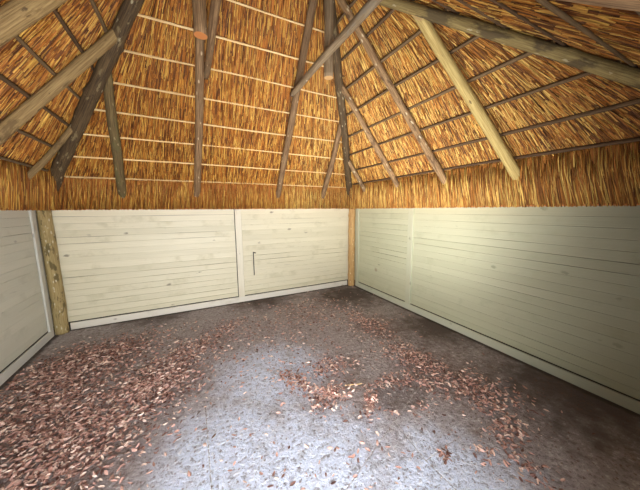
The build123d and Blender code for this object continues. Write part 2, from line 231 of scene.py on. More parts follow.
# %% Smooth chance
def ripple(rng, *axes, length=0.3, waves=5):
    """A smooth random surface: a few sines with random directions, starts and near lengths."""
    total = 0
    for _ in range(waves):
        turn = rng.normal(size=len(axes))
        turn *= 2 * pi / (length * rng.uniform(0.7, 1.5) * np.linalg.norm(turn))
        total = total + np.sin(sum(t * a for t, a in zip(turn, axes)) + rng.uniform(0, 2 * pi))
    return total / waves**0.5


def unit(vector):
    """The same direction with length 1."""
    return vector / np.linalg.norm(vector, axis=-1, keepdims=True)


def solid_boxes(node):
    """Lowest and highest corner of each separate solid in a CAD node, found by shared points."""
    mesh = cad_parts[node].data
    points = np.empty(len(mesh.vertices) * 3)
    mesh.vertices.foreach_get("co", points)
    points = points.reshape(-1, 3)
    _, same = np.unique(points.round(5), axis=0, return_inverse=True)
    mesh.calc_loop_triangles()
    faces = np.empty(len(mesh.loop_triangles) * 3, int)
    mesh.loop_triangles.foreach_get("vertices", faces)
    faces = same.ravel()[faces].reshape(-1, 3)
    label = np.arange(same.max() + 1)
    settled = False
    while not settled:
        before = label.copy()
        np.minimum.at(label, faces.ravel(), np.repeat(label[faces].min(1), 3))
        settled = (label == before).all()
    group = label[same.ravel()]
    return [(points[group == g].min(0), points[group == g].max(0)) for g in np.unique(group)]


print("skirting boards:", len(solid_boxes("skirting_boards")))

# %% [markdown]
# ## Shader building blocks
# Wood grain, blotches, flecks, spots and scored lines turn up in many finishes, so each is a node
# group with named inputs, built once. A group only gives a mask. The colours are laid over each
# other in each material, next to its Principled shader.


# %% Short ways to write shader nodes
def paint(red, green, blue):
    """A colour given as 0 to 255 on a screen, turned into the linear light that shaders use."""
    screen = np.array([red, green, blue]) / 255
    linear = np.where(screen < 0.04045, screen / 12.92, ((screen + 0.055) / 1.055) ** 2.4)
    return (*linear, 1.0)


def wire(tree, sockets, values):
    """Link each input, by name or number, to another node's output, or set its value."""
    for key, value in values.items():
        if isinstance(value, bpy.types.NodeSocket):
            tree.links.new(value, sockets[key])
        else:
            sockets[key].default_value = value


def put(tree, kind, inputs, out=0, **settings):
    """Add a node with its settings and inputs, and hand back one output."""
    node = tree.nodes.new("ShaderNode" + kind)
    for key, value in settings.items():
        setattr(node, key, value)
    wire(tree, node.inputs, inputs)
    return node.outputs[out]


def calc(tree, operation, a, b=0.0, clamp=False):
    """One step of arithmetic."""
    return put(tree, "Math", {0: a, 1: b}, operation=operation, use_clamp=clamp)


def times(tree, a, b):
    """One value times another."""
    return calc(tree, "MULTIPLY", a, b)


def vector(tree, operation, a, b, out=0):
    """One step of vector arithmetic. Output 1 is a plain number, such as a length."""
    return put(tree, "VectorMath", {0: a, 1: b}, out, operation=operation)


def stretch(tree, place, share):
    """Keep a place's x and y, and multiply its z by a share."""
    return vector(tree, "MULTIPLY", place, (1.0, 1.0, share))


def blend(tree, mask, low, high, kind="MIX"):
    """Mix two colours by a mask. A colour is another node's output or a screen colour."""
    low, high = (paint(*colour) if isinstance(colour, tuple) else colour for colour in (low, high))
    inputs = {0: mask, 6: low, 7: high}
    return put(tree, "Mix", inputs, 2, data_type="RGBA", blend_type=kind)


def coats(tree, colour, *layers):
    """Lay screen colours over a first one. Each layer is a mask, its strength and a colour."""
    for mask, strength, over in layers:
        mask = mask if strength == 1 else times(tree, mask, strength)
        colour = blend(tree, mask, colour, over)
    return colour


def noise(tree, place, scale, detail=3.0, roughness=0.55):
    """Smooth noise from 0 to 1."""
    inputs = {"Vector": place, "Scale": scale, "Detail": detail, "Roughness": roughness}
    return put(tree, "TexNoise", inputs)


def fade(tree, value, start, end, low=0.0, high=1.0):
    """Soft step: low up to start, high past end."""
    inputs = {"Value": value, 1: start, 2: end, 3: low, 4: high}
    return put(tree, "MapRange", inputs, interpolation_type="SMOOTHSTEP")


def value_of(tree, name, out="Fac"):
    """A value that the mesh holds for each point."""
    return put(tree, "Attribute", {}, out, attribute_name=name)


def in_room(tree, axes=""):
    """A point's place in the room, and those of its X, Y and Z that are asked for."""
    place = put(tree, "TexCoord", {}, "Object")
    return place, *(put(tree, "SeparateXYZ", {0: place}, axis) for axis in axes)


def in_stick(tree):
    """A point's place in its own stick, board or leaf, and the tint of that one."""
    return value_of(tree, "grain", "Vector"), value_of(tree, "tint")


def shader_group(name, build, **inputs):
    """A node group that gives one mask. Each of its named inputs has a usual value."""
    group = bpy.data.node_groups.new(name, "ShaderNodeTree")
    for key, usual in {"Place": (0, 0, 0), **inputs}.items():
        kind = "NodeSocketVector" if isinstance(usual, tuple) else "NodeSocketFloat"
        socket = group.interface.new_socket(name=key, in_out="INPUT", socket_type=kind)
        socket.default_value = usual
    group.interface.new_socket(name="Mask", in_out="OUTPUT", socket_type="NodeSocketFloat")
    given = group.nodes.new("NodeGroupInput").outputs
    result = group.nodes.new("NodeGroupOutput").inputs
    group.links.new(build(group, given), result["Mask"])
    return group


def use(tree, group, **inputs):
    """Place a group in a material with its own values, and hand back its mask."""
    return put(tree, "Group", inputs, node_tree=group)


def finish(name, build):
    """A material. What build gives goes to the Principled shader, and Height to a Bump node.

    Strength and Deep are the bump's strength and its depth in metres.
    """
    material = bpy.data.materials.new(name + "_finish")
    material.use_nodes = True
    tree = material.node_tree
    made = {"Roughness": 0.8, "Deep": 0.004, **build(tree)}
    bump = {"Height": "Height", "Strength": "Strength", "Distance": "Deep"}
    inputs = {key: made.pop(source) for key, source in bump.items()}
    made["Normal"] = put(tree, "Bump", inputs)
    wire(tree, tree.nodes["Principled BSDF"].inputs, made)
    return material


# %% Wood fibre, blotches and flecks
def build_fibre(tree, given):
    """Noise squeezed across the wood and drawn out along it, so it reads as fibres."""
    across, along = (calc(tree, "DIVIDE", 1.0, given[key]) for key in ("Width", "Length"))
    squeezed = put(tree, "CombineXYZ", {0: across, 1: across, 2: along})
    place = vector(tree, "MULTIPLY", given["Place"], squeezed)
    return fade(tree, noise(tree, place, 1.0, 4.0, 0.6), 0.3, 0.7)


def build_blotches(tree, given):
    """Large soft noise cut at a level, so that Amount is the share of the surface it covers."""
    scale = calc(tree, "DIVIDE", 1.0, given["Size"])
    level = calc(tree, "SUBTRACT", 0.72, times(tree, given["Amount"], 0.44))
    high = calc(tree, "ADD", level, given["Softness"])
    return fade(tree, noise(tree, given["Place"], scale, 5.0, 0.62), level, high)


def build_flecks(tree, given):
    """Small dots: near the cell centres of a Voronoi pattern, and only in some of the cells."""
    scale = calc(tree, "DIVIDE", 1.0, given["Size"])
    ragged = noise(tree, given["Place"], times(tree, scale, 1.6), 4.0, 0.7)
    ragged = times(tree, calc(tree, "SUBTRACT", ragged, 0.5), given["Size"])
    inputs = {"Vector": vector(tree, "ADD", given["Place"], ragged), "Scale": scale}
    near, cell = (put(tree, "TexVoronoi", inputs, out) for out in ("Distance", "Color"))
    some = calc(tree, "LESS_THAN", put(tree, "SeparateColor", {0: cell}), given["Amount"])
    return times(tree, fade(tree, near, 0.42, 0.2), some)


# %% Spots and scored lines
def build_spot(tree, given):
    """A round patch with a ragged edge: 1 at its centre, 0 past its radius."""
    between = vector(tree, "SUBTRACT", given["Place"], given["Centre"])
    far = vector(tree, "LENGTH", between, (0, 0, 0), 1)
    ragged = calc(tree, "SUBTRACT", noise(tree, given["Place"], 7.0, 5.0), 0.5)
    ragged = times(tree, ragged, given["Radius"])
    share = calc(tree, "DIVIDE", calc(tree, "ADD", far, ragged), given["Radius"])
    return fade(tree, share, 1.0, given["Core"])


def build_line(tree, given):
    """A thin mark: 1 where the distance to the stretch from Start to End is under its width."""
    run = vector(tree, "SUBTRACT", given["End"], given["Start"])
    here = vector(tree, "SUBTRACT", given["Place"], given["Start"])
    dot, whole = (vector(tree, "DOT_PRODUCT", way, run, 1) for way in (here, run))
    share = calc(tree, "DIVIDE", dot, whole, clamp=True)
    foot = put(tree, "VectorMath", {0: run, "Scale": share}, operation="SCALE")
    far = vector(tree, "LENGTH", vector(tree, "SUBTRACT", here, foot), (0, 0, 0), 1)
    waver = times(tree, noise(tree, given["Place"], 40.0), given["Width"])
    return fade(tree, calc(tree, "ADD", far, waver), given["Width"], 0.0)


def strongest(tree, masks):
    """The highest of several masks at each point."""
    return reduce(lambda most, mask: calc(tree, "MAXIMUM", most, mask), masks)


def spots(tree, place, rounds, core):
    """The strongest of several round patches on the floor, each given as x, y and radius."""
    masks = [use(tree, spot, Place=place, Centre=(x, y, 0), Radius=radius, Core=core)
             for x, y, radius in rounds]
    return strongest(tree, masks)


fibre = shader_group("wood_fibre", build_fibre, Width=0.006, Length=0.2)
blotches = shader_group("blotches", build_blotches, Size=0.3, Amount=0.5, Softness=0.12)
flecks = shader_group("flecks", build_flecks, Size=0.02, Amount=0.3)
spot = shader_group("spot", build_spot, Centre=(0, 0, 0), Radius=0.3, Core=0.3)
line = shader_group("scored_line", build_line, Start=(0, 0, 0), End=(1, 0, 0), Width=0.006)
print("node groups:", [group.name for group in bpy.data.node_groups])

# %% [markdown]
# ## Painted boards
# The walls are tongue-and-groove boards about 90 mm wide, painted cream. The seams are not one
# texture line: each board is a real plank with small chamfers, and its width wavers, so the dark
# seam opens and closes along the wall as it does on the real one. A near-black core stands behind
# the boards as painted shade for the seams and gaps. Skirting, battens and trim are single planks
# in the CAD's places.


# %% A plank
def plank(low, high, rng, chamfer=0.0007, warp=0.0006, step=0.3, waver=0.0, tint=None):
    """A board that fills the box from low to high: an eight-cornered profile along its length.

    The profile drifts by a fraction of a millimetre, and its width shrinks by up to waver.
    """
    low, high = np.array(low, float), np.array(high, float)
    size = high - low
    t_axis, w_axis, l_axis = np.argsort(size, kind="stable")
    width, thick, length = size[w_axis] / 2, size[t_axis] / 2, size[l_axis]
    count = max(2, int(length / step) + 1)
    s = np.linspace(0, length, count)[:, None]
    edge = np.array([1, 1, 1, 1, -1, -1, -1, -1.0])
    face = np.array([1, 1, -1, -1, -1, -1, 1, 1.0])
    inset_w = chamfer * np.array([1, 0, 0, 1, 1, 0, 0, 1.0])
    inset_t = chamfer * np.array([0, 1, 1, 0, 0, 1, 1, 0.0])
    shrink = np.clip(0.5 + 0.5 * ripple(rng, s, length=1.3), 0, 1) * waver
    across = edge * (width - inset_w - shrink)
    depth = face * (thick - inset_t) + warp * ripple(rng, s, length=1.8)
    rows = np.zeros((count, 8, 3)) + (low + high) / 2
    rows[..., l_axis] = low[l_axis] + s
    rows[..., w_axis] += across
    rows[..., t_axis] += depth
    grain = np.stack(np.broadcast_arrays(across, depth, s), axis=-1) + rng.uniform(0, 50, 3)
    shade = rng.uniform() if tint is None else tint
    return tube(rows, grain=grain, tint=np.full(rows.shape[:2], shade))


# %% Cream paint and white paint
wall_stain = (2.34, 1.63, 0.585)


def painted(base, dirt, seam_dirt):
    """Paint over wood: faint grain, rubbed and dust-grey patches, knots, and grime near the floor.

    The right wall is tinted greener as painted light and darkens towards the doorway as painted
    shade, and the left wall is tinted greyer as painted shade.
    """

    def build(tree):
        place, across, back_way, height = in_room(tree, "XYZ")
        grain, tint = in_stick(tree)
        wood = use(tree, fibre, Place=grain, Width=0.012, Length=0.5)
        rubbed = use(tree, blotches, Place=grain, Size=0.35, Amount=0.42, Softness=0.16)
        long_place = stretch(tree, grain, 0.12)
        scuff = use(tree, blotches, Place=long_place, Size=0.05, Amount=0.10, Softness=0.1)
        knot = use(tree, flecks, Place=stretch(tree, grain, 0.5), Size=0.05, Amount=0.02)
        low = fade(tree, height, floor_top + 0.5, floor_top)
        mark = use(tree, spot, Place=place, Centre=wall_stain, Radius=0.05, Core=0.2)
        # Painted light and shade: the right wall's paint is greener, the left wall's greyer, and
        # the right wall darker towards the doorway.
        right_wall_light_tint = fade(tree, across, half_width - 0.1, half_width - 0.03, 0.0, 0.5)
        left_wall_shade_tint = fade(tree, across, 0.1 - half_width, 0.03 - half_width, 0.0, 0.5)
        corner = times(tree, right_wall_light_tint, fade(tree, back_way, 0.1, -1.5, 0.0, 1.3))
        # The core's near-black is painted shade for the gaps between the boards.
        core = calc(tree, "LESS_THAN", tint, -0.5)
        colour = coats(
            tree, base, (tint, 0.35, dirt), (wood, 0.22, dirt), (rubbed, 0.45, dirt),
            (scuff, 0.4, seam_dirt), (knot, 0.7, seam_dirt), (low, 0.25, dirt),
            (mark, 0.8, (150, 92, 72)), (right_wall_light_tint, 1, (174, 188, 156)),
            (left_wall_shade_tint, 1, (176, 184, 190)), (corner, 1, (104, 106, 92)), (core, 1, (34, 30, 24)),
        )
        rough = fade(tree, rubbed, 0.0, 1.0, 0.5, 0.75)
        return {"Base Color": colour, "Roughness": rough, "Height": wood, "Strength": 0.12}

    return build


cream_boards = finish("cream_boards", painted((232, 227, 203), (190, 186, 156), (112, 106, 88)))
cream_trim = finish("cream_trim", painted((238, 234, 216), (196, 190, 168), (120, 112, 90)))
white_trim = finish("white_trim", painted((240, 238, 228), (196, 190, 176), (128, 110, 88)))

# %% Walls of single boards
board_count, board_thick = 18, 0.018
board_pitch = (wall_top - floor_top) / board_count
skirting_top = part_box("skirting_boards")[1].z
joint_gap, room_gap = 0.010, 0.012
wall_joints = {"back_wall": (-0.008, -1), "left_wall": (0.872, 1), "right_wall": (0.872, 1)}
room_faces = {
    "back_wall": -1, "left_wall": 1, "right_wall": -1, "front_wall_left": 1, "front_wall_right": 1
}


def board_wall(name, rng):
    """Boards on both faces of a dark core, in two lengths where a batten covers their joint.

    In the room the boards start a finger's breadth above the skirting and stop short of one edge
    of the batten, so the near-black core shows there as a line of painted shade.
    """
    low, high = (np.array(corner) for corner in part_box(name))
    run = 0 if high[0] - low[0] > high[1] - low[1] else 1
    depth = 1 - run
    inset = np.zeros(3)
    inset[[depth, run]] = board_thick, 0.001
    parts = [plank(low + inset, high - inset, rng, step=5, tint=-1)]
    lengths = [(low[run], high[run])]
    if name in wall_joints:
        joint, side = wall_joints[name]
        near, far = joint + side * joint_gap, joint - side * 0.05
        lengths = [(low[run], min(near, far)), (max(near, far), high[run])]
    for in_room in (True, False):
        side = room_faces[name] * (1 if in_room else -1)
        near = low[depth] if side < 0 else high[depth] - board_thick
        for row in range(board_count):
            bottom = floor_top + row * board_pitch
            top = bottom + board_pitch - 0.0002
            if in_room:
                bottom = max(bottom, skirting_top + room_gap)
            if top - bottom < 0.02:
                continue
            for start, end in lengths:
                a, b = low.copy(), high.copy()
                a[run], b[run] = start + 0.0004, end - 0.0004
                a[2], b[2] = bottom, top
                a[depth], b[depth] = near, near + board_thick
                parts.append(plank(a, b, rng, waver=0.0036 * rng.uniform() ** 2))
    return parts


rng = np.random.default_rng(11)
for name in room_faces:
    new_piece(name + "_boards", board_wall(name, rng), cream_boards, [name], smooth=False)

# %% Skirting, battens, trim and jambs
trims = {"skirting_boards": white_trim, "wall_battens": cream_trim, "corner_trims": cream_trim,
         "door_jambs": cream_trim}
for node, material in trims.items():
    planks = [plank(low, high, rng, chamfer=0.003, warp=0.001) for low, high in solid_boxes(node)]
    new_piece(node + "_planks", planks, material, [node], smooth=False)

# %% [markdown]
# ## Poles
# The roof stands on round poles as they were cut: a little bent, tapered, with knots, and some
# still in their bark. A straight cylinder looks wrong at once, so the axis bows by slow sines that
# are nil at both ends, and the radius swells round it. The ends are cut by a plane, level on the
# wall plate and plumb at a hip or the ridge.


# %% A natural pole
def pole(rng, start, end, thick, bend=0.010, rough=0.035, knots=4, cuts=(None, None), sides=18,
         step=0.06, tint=None):
    """Round the axis (u) and along it (v): point = axis + bow(v) + radius(u, v) in direction u.

    thick is the diameter at both ends. Each cut is a plane (point, normal) where the pole ends.
    """
    start, end = np.array(start, float), np.array(end, float)
    reach = end - start
    length = np.linalg.norm(reach)
    axis = reach / length
    side = unit(np.cross(axis, up if abs(axis[2]) < 0.9 else np.array([1.0, 0, 0])))
    other = np.cross(axis, side)
    u = np.linspace(0, 2 * pi, sides, endpoint=False)[None, :]
    turn = np.cos(u)[..., None] * side + np.sin(u)[..., None] * other
    ends = [np.zeros(u.shape), np.ones(u.shape)]
    for k, cut in enumerate(cuts):
        if cut is not None:
            drop = (np.array(cut[0]) - start) @ np.array(cut[1])
            rim = thick[k] / 2 * (turn @ np.array(cut[1]))
            ends[k] = (drop - rim) / (reach @ np.array(cut[1]))
    count = max(6, int(length / step))
    v = np.concatenate([[0], np.linspace(0, 1, count), [1]])[:, None]
    inner = np.ones((count + 2, 1))
    inner[[0, -1]] = 0.93
    share = ends[0] + (ends[1] - ends[0]) * v
    middle = ends[0].mean() + (ends[1].mean() - ends[0].mean()) * v
    radius = (thick[0] + (thick[1] - thick[0]) * share) / 2
    s = share * length
    swell = ripple(rng, 0.09 * np.cos(u), 0.09 * np.sin(u), 0.5 * s, length=0.16, waves=6)
    radius = radius * (1 + rough * swell)
    for _ in range(knots):
        near = rng.uniform(0.08, 0.92) * length
        angle = rng.uniform(0, 2 * pi)
        bump = np.exp(-(((s - near) / 0.035) ** 2) - (1 - np.cos(u - angle)) / 0.12)
        radius = radius + thick[0] * rng.uniform(0.05, 0.12) * bump
    way = rng.uniform(0, 2 * pi)
    bow = bend * np.sin(pi * v) * (1 + 0.3 * np.sin(2 * pi * v * rng.uniform(0.8, 1.6) + way))
    bow = bow[..., None] * (cos(way) * side + sin(way) * other)
    bow = bow + (0.25 * bend * np.sin(3 * pi * v))[..., None] * (sin(way) * side)
    rows = start + share[..., None] * reach + bow + (radius * inner)[..., None] * turn
    rows = rows - ((1 - inner) * (share - middle) * length)[..., None] * axis
    grain = np.stack([radius * np.cos(u), radius * np.sin(u), s], axis=-1) + rng.uniform(0, 50, 3)
    sawn = np.zeros(rows.shape[:2])
    sawn[[0, -1]] = 1
    shade = np.full(rows.shape[:2], rng.uniform() if tint is None else tint)
    return tube(rows, grain=grain, sawn=sawn, tint=shade)


def upright(rng, node, thick, sides, step, knots):
    """A pole down the middle of a CAD node's box."""
    low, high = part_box(node)
    x, y = (low.x + high.x) / 2, (low.y + high.y) / 2
    thick = thick or (high.x - low.x,) * 2
    return pole(rng, (x, y, low.z), (x, y, high.z), thick, bend=0.004, knots=knots, sides=sides,
                step=step)


# %% [markdown]
# ## Bark and bare wood
# One recipe serves all the poles: long fibres, a second colour in blotches such as bark, moss or
# stain, pale flecks where bark has flaked, and fresh-cut wood on the sawn ends.


# %% Pole finishes
def pole_wood(base, streak, patch, patch_share, fleck, fleck_share, end, patch_size=0.12):
    """Fibres of two colours, patches of a third, flecks of a fourth, and sawn ends of a fifth."""

    def build(tree):
        grain, tint = in_stick(tree)
        fine = use(tree, fibre, Place=grain, Width=0.007, Length=0.18)
        broad = use(tree, fibre, Place=grain, Width=0.03, Length=0.5)
        long_place = stretch(tree, grain, 0.4)
        share = {"Amount": patch_share, "Softness": 0.08}
        patches = use(tree, blotches, Place=long_place, Size=patch_size, **share)
        dots = use(tree, flecks, Place=long_place, Size=0.022, Amount=fleck_share)
        colour = coats(tree, base, (fine, 1, streak), (broad, 0.5, streak), (patches, 0.85, patch),
                       (dots, 0.8, fleck))
        brighter = calc(tree, "ADD", 0.82, times(tree, tint, 0.34))
        grey = put(tree, "CombineColor", {0: brighter, 1: brighter, 2: brighter})
        colour = blend(tree, 1.0, colour, grey, "MULTIPLY")
        colour = blend(tree, value_of(tree, "sawn"), colour, end)
        height = calc(tree, "ADD", fine, times(tree, patches, 1.5))
        return {"Base Color": colour, "Height": height, "Strength": 0.5}

    return build


pole_looks = {
    "bark_pole": ((112, 90, 58), (58, 42, 24), (134, 118, 84), 0.3, (186, 174, 142), 0.1,
                  (176, 138, 92), 0.05),
    "brown_pole": ((168, 136, 98), (92, 66, 42), (116, 96, 70), 0.35, (206, 184, 150), 0.08,
                   (206, 132, 74)),
    "grey_pole": ((152, 134, 106), (112, 92, 68), (128, 116, 98), 0.35, (196, 184, 162), 0.06,
                  (190, 150, 100)),
    "pale_pole": ((222, 200, 130), (176, 150, 90), (150, 126, 78), 0.25, (96, 74, 48), 0.04,
                  (214, 186, 130), 0.12),
    "dull_pole": ((172, 146, 98), (124, 98, 60), (104, 82, 50), 0.35, (74, 54, 34), 0.06,
                  (202, 168, 112), 0.12),
    "moss_green_pole": ((136, 116, 74), (88, 70, 42), (110, 100, 62), 0.45, (168, 152, 112), 0.1,
                        (176, 138, 92), 0.08),
    "hip_pole": ((170, 152, 98), (122, 102, 60), (88, 74, 50), 0.5, (196, 184, 150), 0.12,
                 (190, 160, 110), 0.14),
    "mossy_pole": ((196, 178, 126), (150, 130, 86), (96, 84, 50), 0.45, (224, 216, 190), 0.2,
                   (190, 160, 110), 0.07),
    "tan_pole": ((222, 188, 130), (170, 130, 80), (132, 100, 60), 0.22, (240, 220, 176), 0.1,
                 (200, 160, 104), 0.08),
    "mottled_pole": ((180, 148, 106), (116, 86, 56), (92, 68, 44), 0.42, (220, 204, 168), 0.14,
                     (206, 170, 116), 0.06),
}
wood = {name: finish(name, pole_wood(*look)) for name, look in pole_looks.items()}

# %% Lines of the roof frame
corners = {corner: corner.split("_") for corner in
           ("back_left", "back_right", "front_right", "front_left")}
hip_thick = dict(zip(corners, (0.116, 0.100, 0.078, 0.100)))


def hip_point(corner, rise, depth):
    """Where the two slopes of a corner, both dropped by depth, meet at this rise."""
    end, side = (slopes[name] for name in corners[corner])
    far_end = end.distance(rise) - depth / sin(end.angle)
    far_side = side.distance(rise) - depth / sin(side.angle)
    return end.out * far_end + side.out * far_side + up * (wall_top + rise)


ridge_depth = hip_top + ridge_pole_thick / 2
back, front = slopes["back"], slopes["front"]
run_sum = back.foot + front.foot - ridge_depth / sin(back.angle) - ridge_depth / sin(front.angle)
pole_rise = run_sum / (1 / back.rate + 1 / front.rate)
ridge_pole_y = back.distance(pole_rise) - ridge_depth / sin(back.angle)
hip_lines = {
    corner: [hip_point(corner, rise, hip_top + thick / 2)
             for rise in (-thick, pole_rise + ridge_pole_thick / 4)]
    for corner, thick in hip_thick.items()
}
hip_planes = {
    corner: (head, np.cross(head - foot, up)) for corner, (foot, head) in hip_lines.items()
}
ridge_plane = (np.array([0.0, ridge_pole_y, 0.0]), np.array([0.0, 1.0, 0.0]))
on_plate = ((0, 0, plate_top), up)
print("ridge pole at height", round(wall_top + pole_rise, 3), "and y", round(ridge_pole_y, 3))

# %% Corner posts
rng = np.random.default_rng(23)
posts = {"back_left": "mossy_pole", "back_right": "tan_pole", "front_right": "tan_pole",
         "front_left": "mossy_pole"}
for corner, look in posts.items():
    node = corner + "_post"
    shape = upright(rng, node, (0.138, 0.132), 28, 0.035, 5)
    new_piece(node + "_pole", [shape], wood[look], [node])

# %% Ridge pole and hip rafters
ridge_ends = [hip_point(corner, pole_rise, ridge_depth) for corner in ("back_left", "back_right")]
shape = pole(rng, *ridge_ends, (0.108, 0.104))
new_piece("ridge_pole_round", [shape], wood["bark_pole"], ["ridge_pole"])
hip_looks = {
    "back_left": ("bark_pole", (0.126, 0.094), 0.08, 14),
    "back_right": ("bark_pole", (0.110, 0.088), 0.07, 12),
    "front_right": ("hip_pole", (0.084, 0.070), 0.05, 6),
    "front_left": ("hip_pole", (0.106, 0.092), 0.04, 5),
}
for corner, (look, thick, rough, knots) in hip_looks.items():
    shape = pole(rng, *hip_lines[corner], thick, bend=0.012, rough=rough, knots=knots,
                 cuts=(on_plate, ridge_plane), sides=24, step=0.05)
    node = corner + "_hip_rafter"
    slot = "pale_pole" if look == "hip_pole" else None
    new_piece(node + "_pole", [shape], wood[look], [node], slot)

# %% Rafters
# Each has its place at the wall top, its place at the head's rise, and its thickness at both.
head_rise = 1.2
rafter_places = {
    "back": [(-1.470, -1.260, 0.104, 0.070), (-0.575, -0.505, 0.092, 0.076),
             (0.698, 0.565, 0.090, 0.076), (1.558, 1.277, 0.088, 0.070)],
    "front": [(-1.480, -1.294, 0.088, 0.076), (-0.575, -0.499, 0.100, 0.084),
              (0.200, 0.150, 0.092, 0.080), (2.050, 1.900, 0.078, 0.072)],
    "right": [(1.622, 1.446, 0.068, 0.060), (0.812, 0.786, 0.074, 0.062),
              (-0.003, 0.124, 0.080, 0.064), (-0.783, -0.494, 0.088, 0.078),
              (-1.728, -1.428, 0.080, 0.070)],
    "left": [(1.580, 1.410, 0.056, 0.048), (0.714, 0.782, 0.092, 0.076),
             (-0.085, 0.071, 0.110, 0.096), (-0.728, -0.468, 0.096, 0.084),
             (-1.728, -1.428, 0.080, 0.070)],
}
rafter_looks = {
    "back": ("brown_pole", "brown_pole"), "front": ("brown_pole", "brown_pole"),
    "right": ("mottled_pole", "pale_pole"), "left": ("dull_pole", "pale_pole"),
}


def rafter(name, foot_place, head_place, foot_thick, head_thick, rng):
    """A pole up one slope, from the wall plate to the first hip or ridge plane that it meets."""
    slope = slopes[name]
    drift = (head_place - foot_place) / head_rise
    start = slope.point(
        foot_place - drift * foot_thick, -foot_thick, slope.pole_top + foot_thick / 2
    )
    end = slope.point(foot_place + drift * ridge_rise, ridge_rise, slope.pole_top + head_thick / 2)
    planes = [hip_planes[corner] for corner in corners if name in corners[corner]]
    shares = [
        ((spot_on - start) @ normal / ((end - start) @ normal), (spot_on, normal))
        for spot_on, normal in (*planes, ridge_plane)
    ]
    _, plane = min((s for s in shares if s[0] > 0.1), key=lambda s: s[0])
    thick = (foot_thick, head_thick)
    return pole(rng, start, end, thick, bend=0.012, cuts=(on_plate, plane), sides=16, step=0.07)


for name, places in rafter_places.items():
    shapes = [rafter(name, *place, rng) for place in places]
    node, (look, slot) = name + "_rafters", rafter_looks[name]
    if name == "right":
        new_piece(node + "_pale_pole", [shapes.pop(3)], wood["pale_pole"])
    if name == "back":
        leftmost = [shapes.pop(0)]
        new_piece(node + "_mossy_pole", leftmost, wood["moss_green_pole"], slot="mossy_pole")
    new_piece(node + "_poles", shapes, wood[look], [node], slot)

# %% Collar ties and king posts
tie_rise = 1.328
frame_looks = {"left": (-0.428, 0.062, "brown_pole"), "right": (0.500, 0.066, "grey_pole")}
for side, (place, thick, look) in frame_looks.items():
    node = side + "_collar_tie"
    ends = [
        slope.point(0, tie_rise + thick / 2, slope.pole_top) * (0, 1, 0)
        + np.array([place, 0, wall_top + tie_rise])
        for slope in (front, back)
    ]
    shape = pole(rng, *ends, (thick, thick * 0.92), bend=0.012, sides=18)
    new_piece(node + "_pole", [shape], wood[look], [node])
for side, (_, _, look) in frame_looks.items():
    node = side + "_king_post"
    new_piece(node + "_pole", [upright(rng, node, None, 24, 0.04, 3)], wood[look], [node])

# %% [markdown]
# ## Laths
# Thin split sticks run level across the poles and hold the reeds. On the real roof the back
# slope's laths are pale and catch the light, and those on the other slopes are dark. They are
# poles of few sides that wander a little, and the value `tint` picks each one's colour by slope:
# pale on the back, partly painted light, and dark on the others, bark deepened by painted shade.


# %% Laths
def build_lath(tree):
    """Pale to dark sticks by tint, with fine fibres."""
    grain, tint = in_stick(tree)
    fine = use(tree, fibre, Place=grain, Width=0.004, Length=0.12)
    pale = blend(tree, fine, (255, 232, 178), (236, 190, 126))
    dark = blend(tree, fine, (88, 60, 34), (48, 30, 16))
    colour = blend(tree, tint, dark, pale)
    colour = blend(tree, value_of(tree, "sawn"), colour, (196, 150, 96))
    return {"Base Color": colour, "Height": fine, "Strength": 0.3}


lath_wood = finish("lath_wood", build_lath)
# Pale on the back partly as painted light, dark on the other slopes partly as painted shade.
lath_tints = {"back": (0.75, 1.0), "front": (0.0, 0.1), "right": (0.0, 0.15), "left": (0.0, 0.12)}
rng = np.random.default_rng(31)
for name, slope in slopes.items():
    sticks = []
    for rise in slope.lath_first + np.arange(lath_rows) * lath_pitch:
        ends = slope.point(slope.edges(rise), [rise, rise], [slope.lath_thick / 2 + 0.003] * 2)
        thick = slope.lath_thick * rng.uniform(0.95, 1.1)
        sticks.append(pole(rng, *ends, (thick, thick * 0.85), bend=0.010, rough=0.10, knots=2,
                           sides=8, step=0.09, tint=rng.uniform(*lath_tints[name])))
    new_piece(name + "_laths_sticks", sticks, lath_wood, [name + "_laths"])

# %% [markdown]
# ## Wall plates
# Raw planks lie on the wall tops, under the rafters' feet. From the room only a thin orange edge
# of them shows between the boards and the hanging reeds.


# %% Wall plates
def build_timber(tree):
    """Unpainted orange pine with fine fibres and darker patches."""
    grain = value_of(tree, "grain", "Vector")
    fine = use(tree, fibre, Place=grain, Width=0.006, Length=0.3)
    patches = use(tree, blotches, Place=grain, Size=0.4, Amount=0.4, Softness=0.15)
    colour = coats(tree, (222, 150, 88), (fine, 1, (190, 116, 62)), (patches, 0.6, (214, 186, 132)))
    return {"Base Color": colour, "Height": fine, "Strength": 0.3}


raw_timber = finish("raw_timber", build_timber)
for name in slopes:
    shape = plank(*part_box(name + "_plate"), rng, chamfer=0.003, warp=0.0015)
    new_piece(name + "_plate_plank", [shape], raw_timber, [name + "_plate"], smooth=False)

# %% [markdown]
# ## Reeds
# Seen from inside, the thatch is a mass of reeds that run up the slope and fan out at the hips. A
# texture alone stays flat, so each slope gets a solid bed with a streaked finish and, on it,
# thousands of real reeds: three-sided closed prisms. They bulge between the laths, dip into the
# bed at one end, and differ in length, lean and colour.


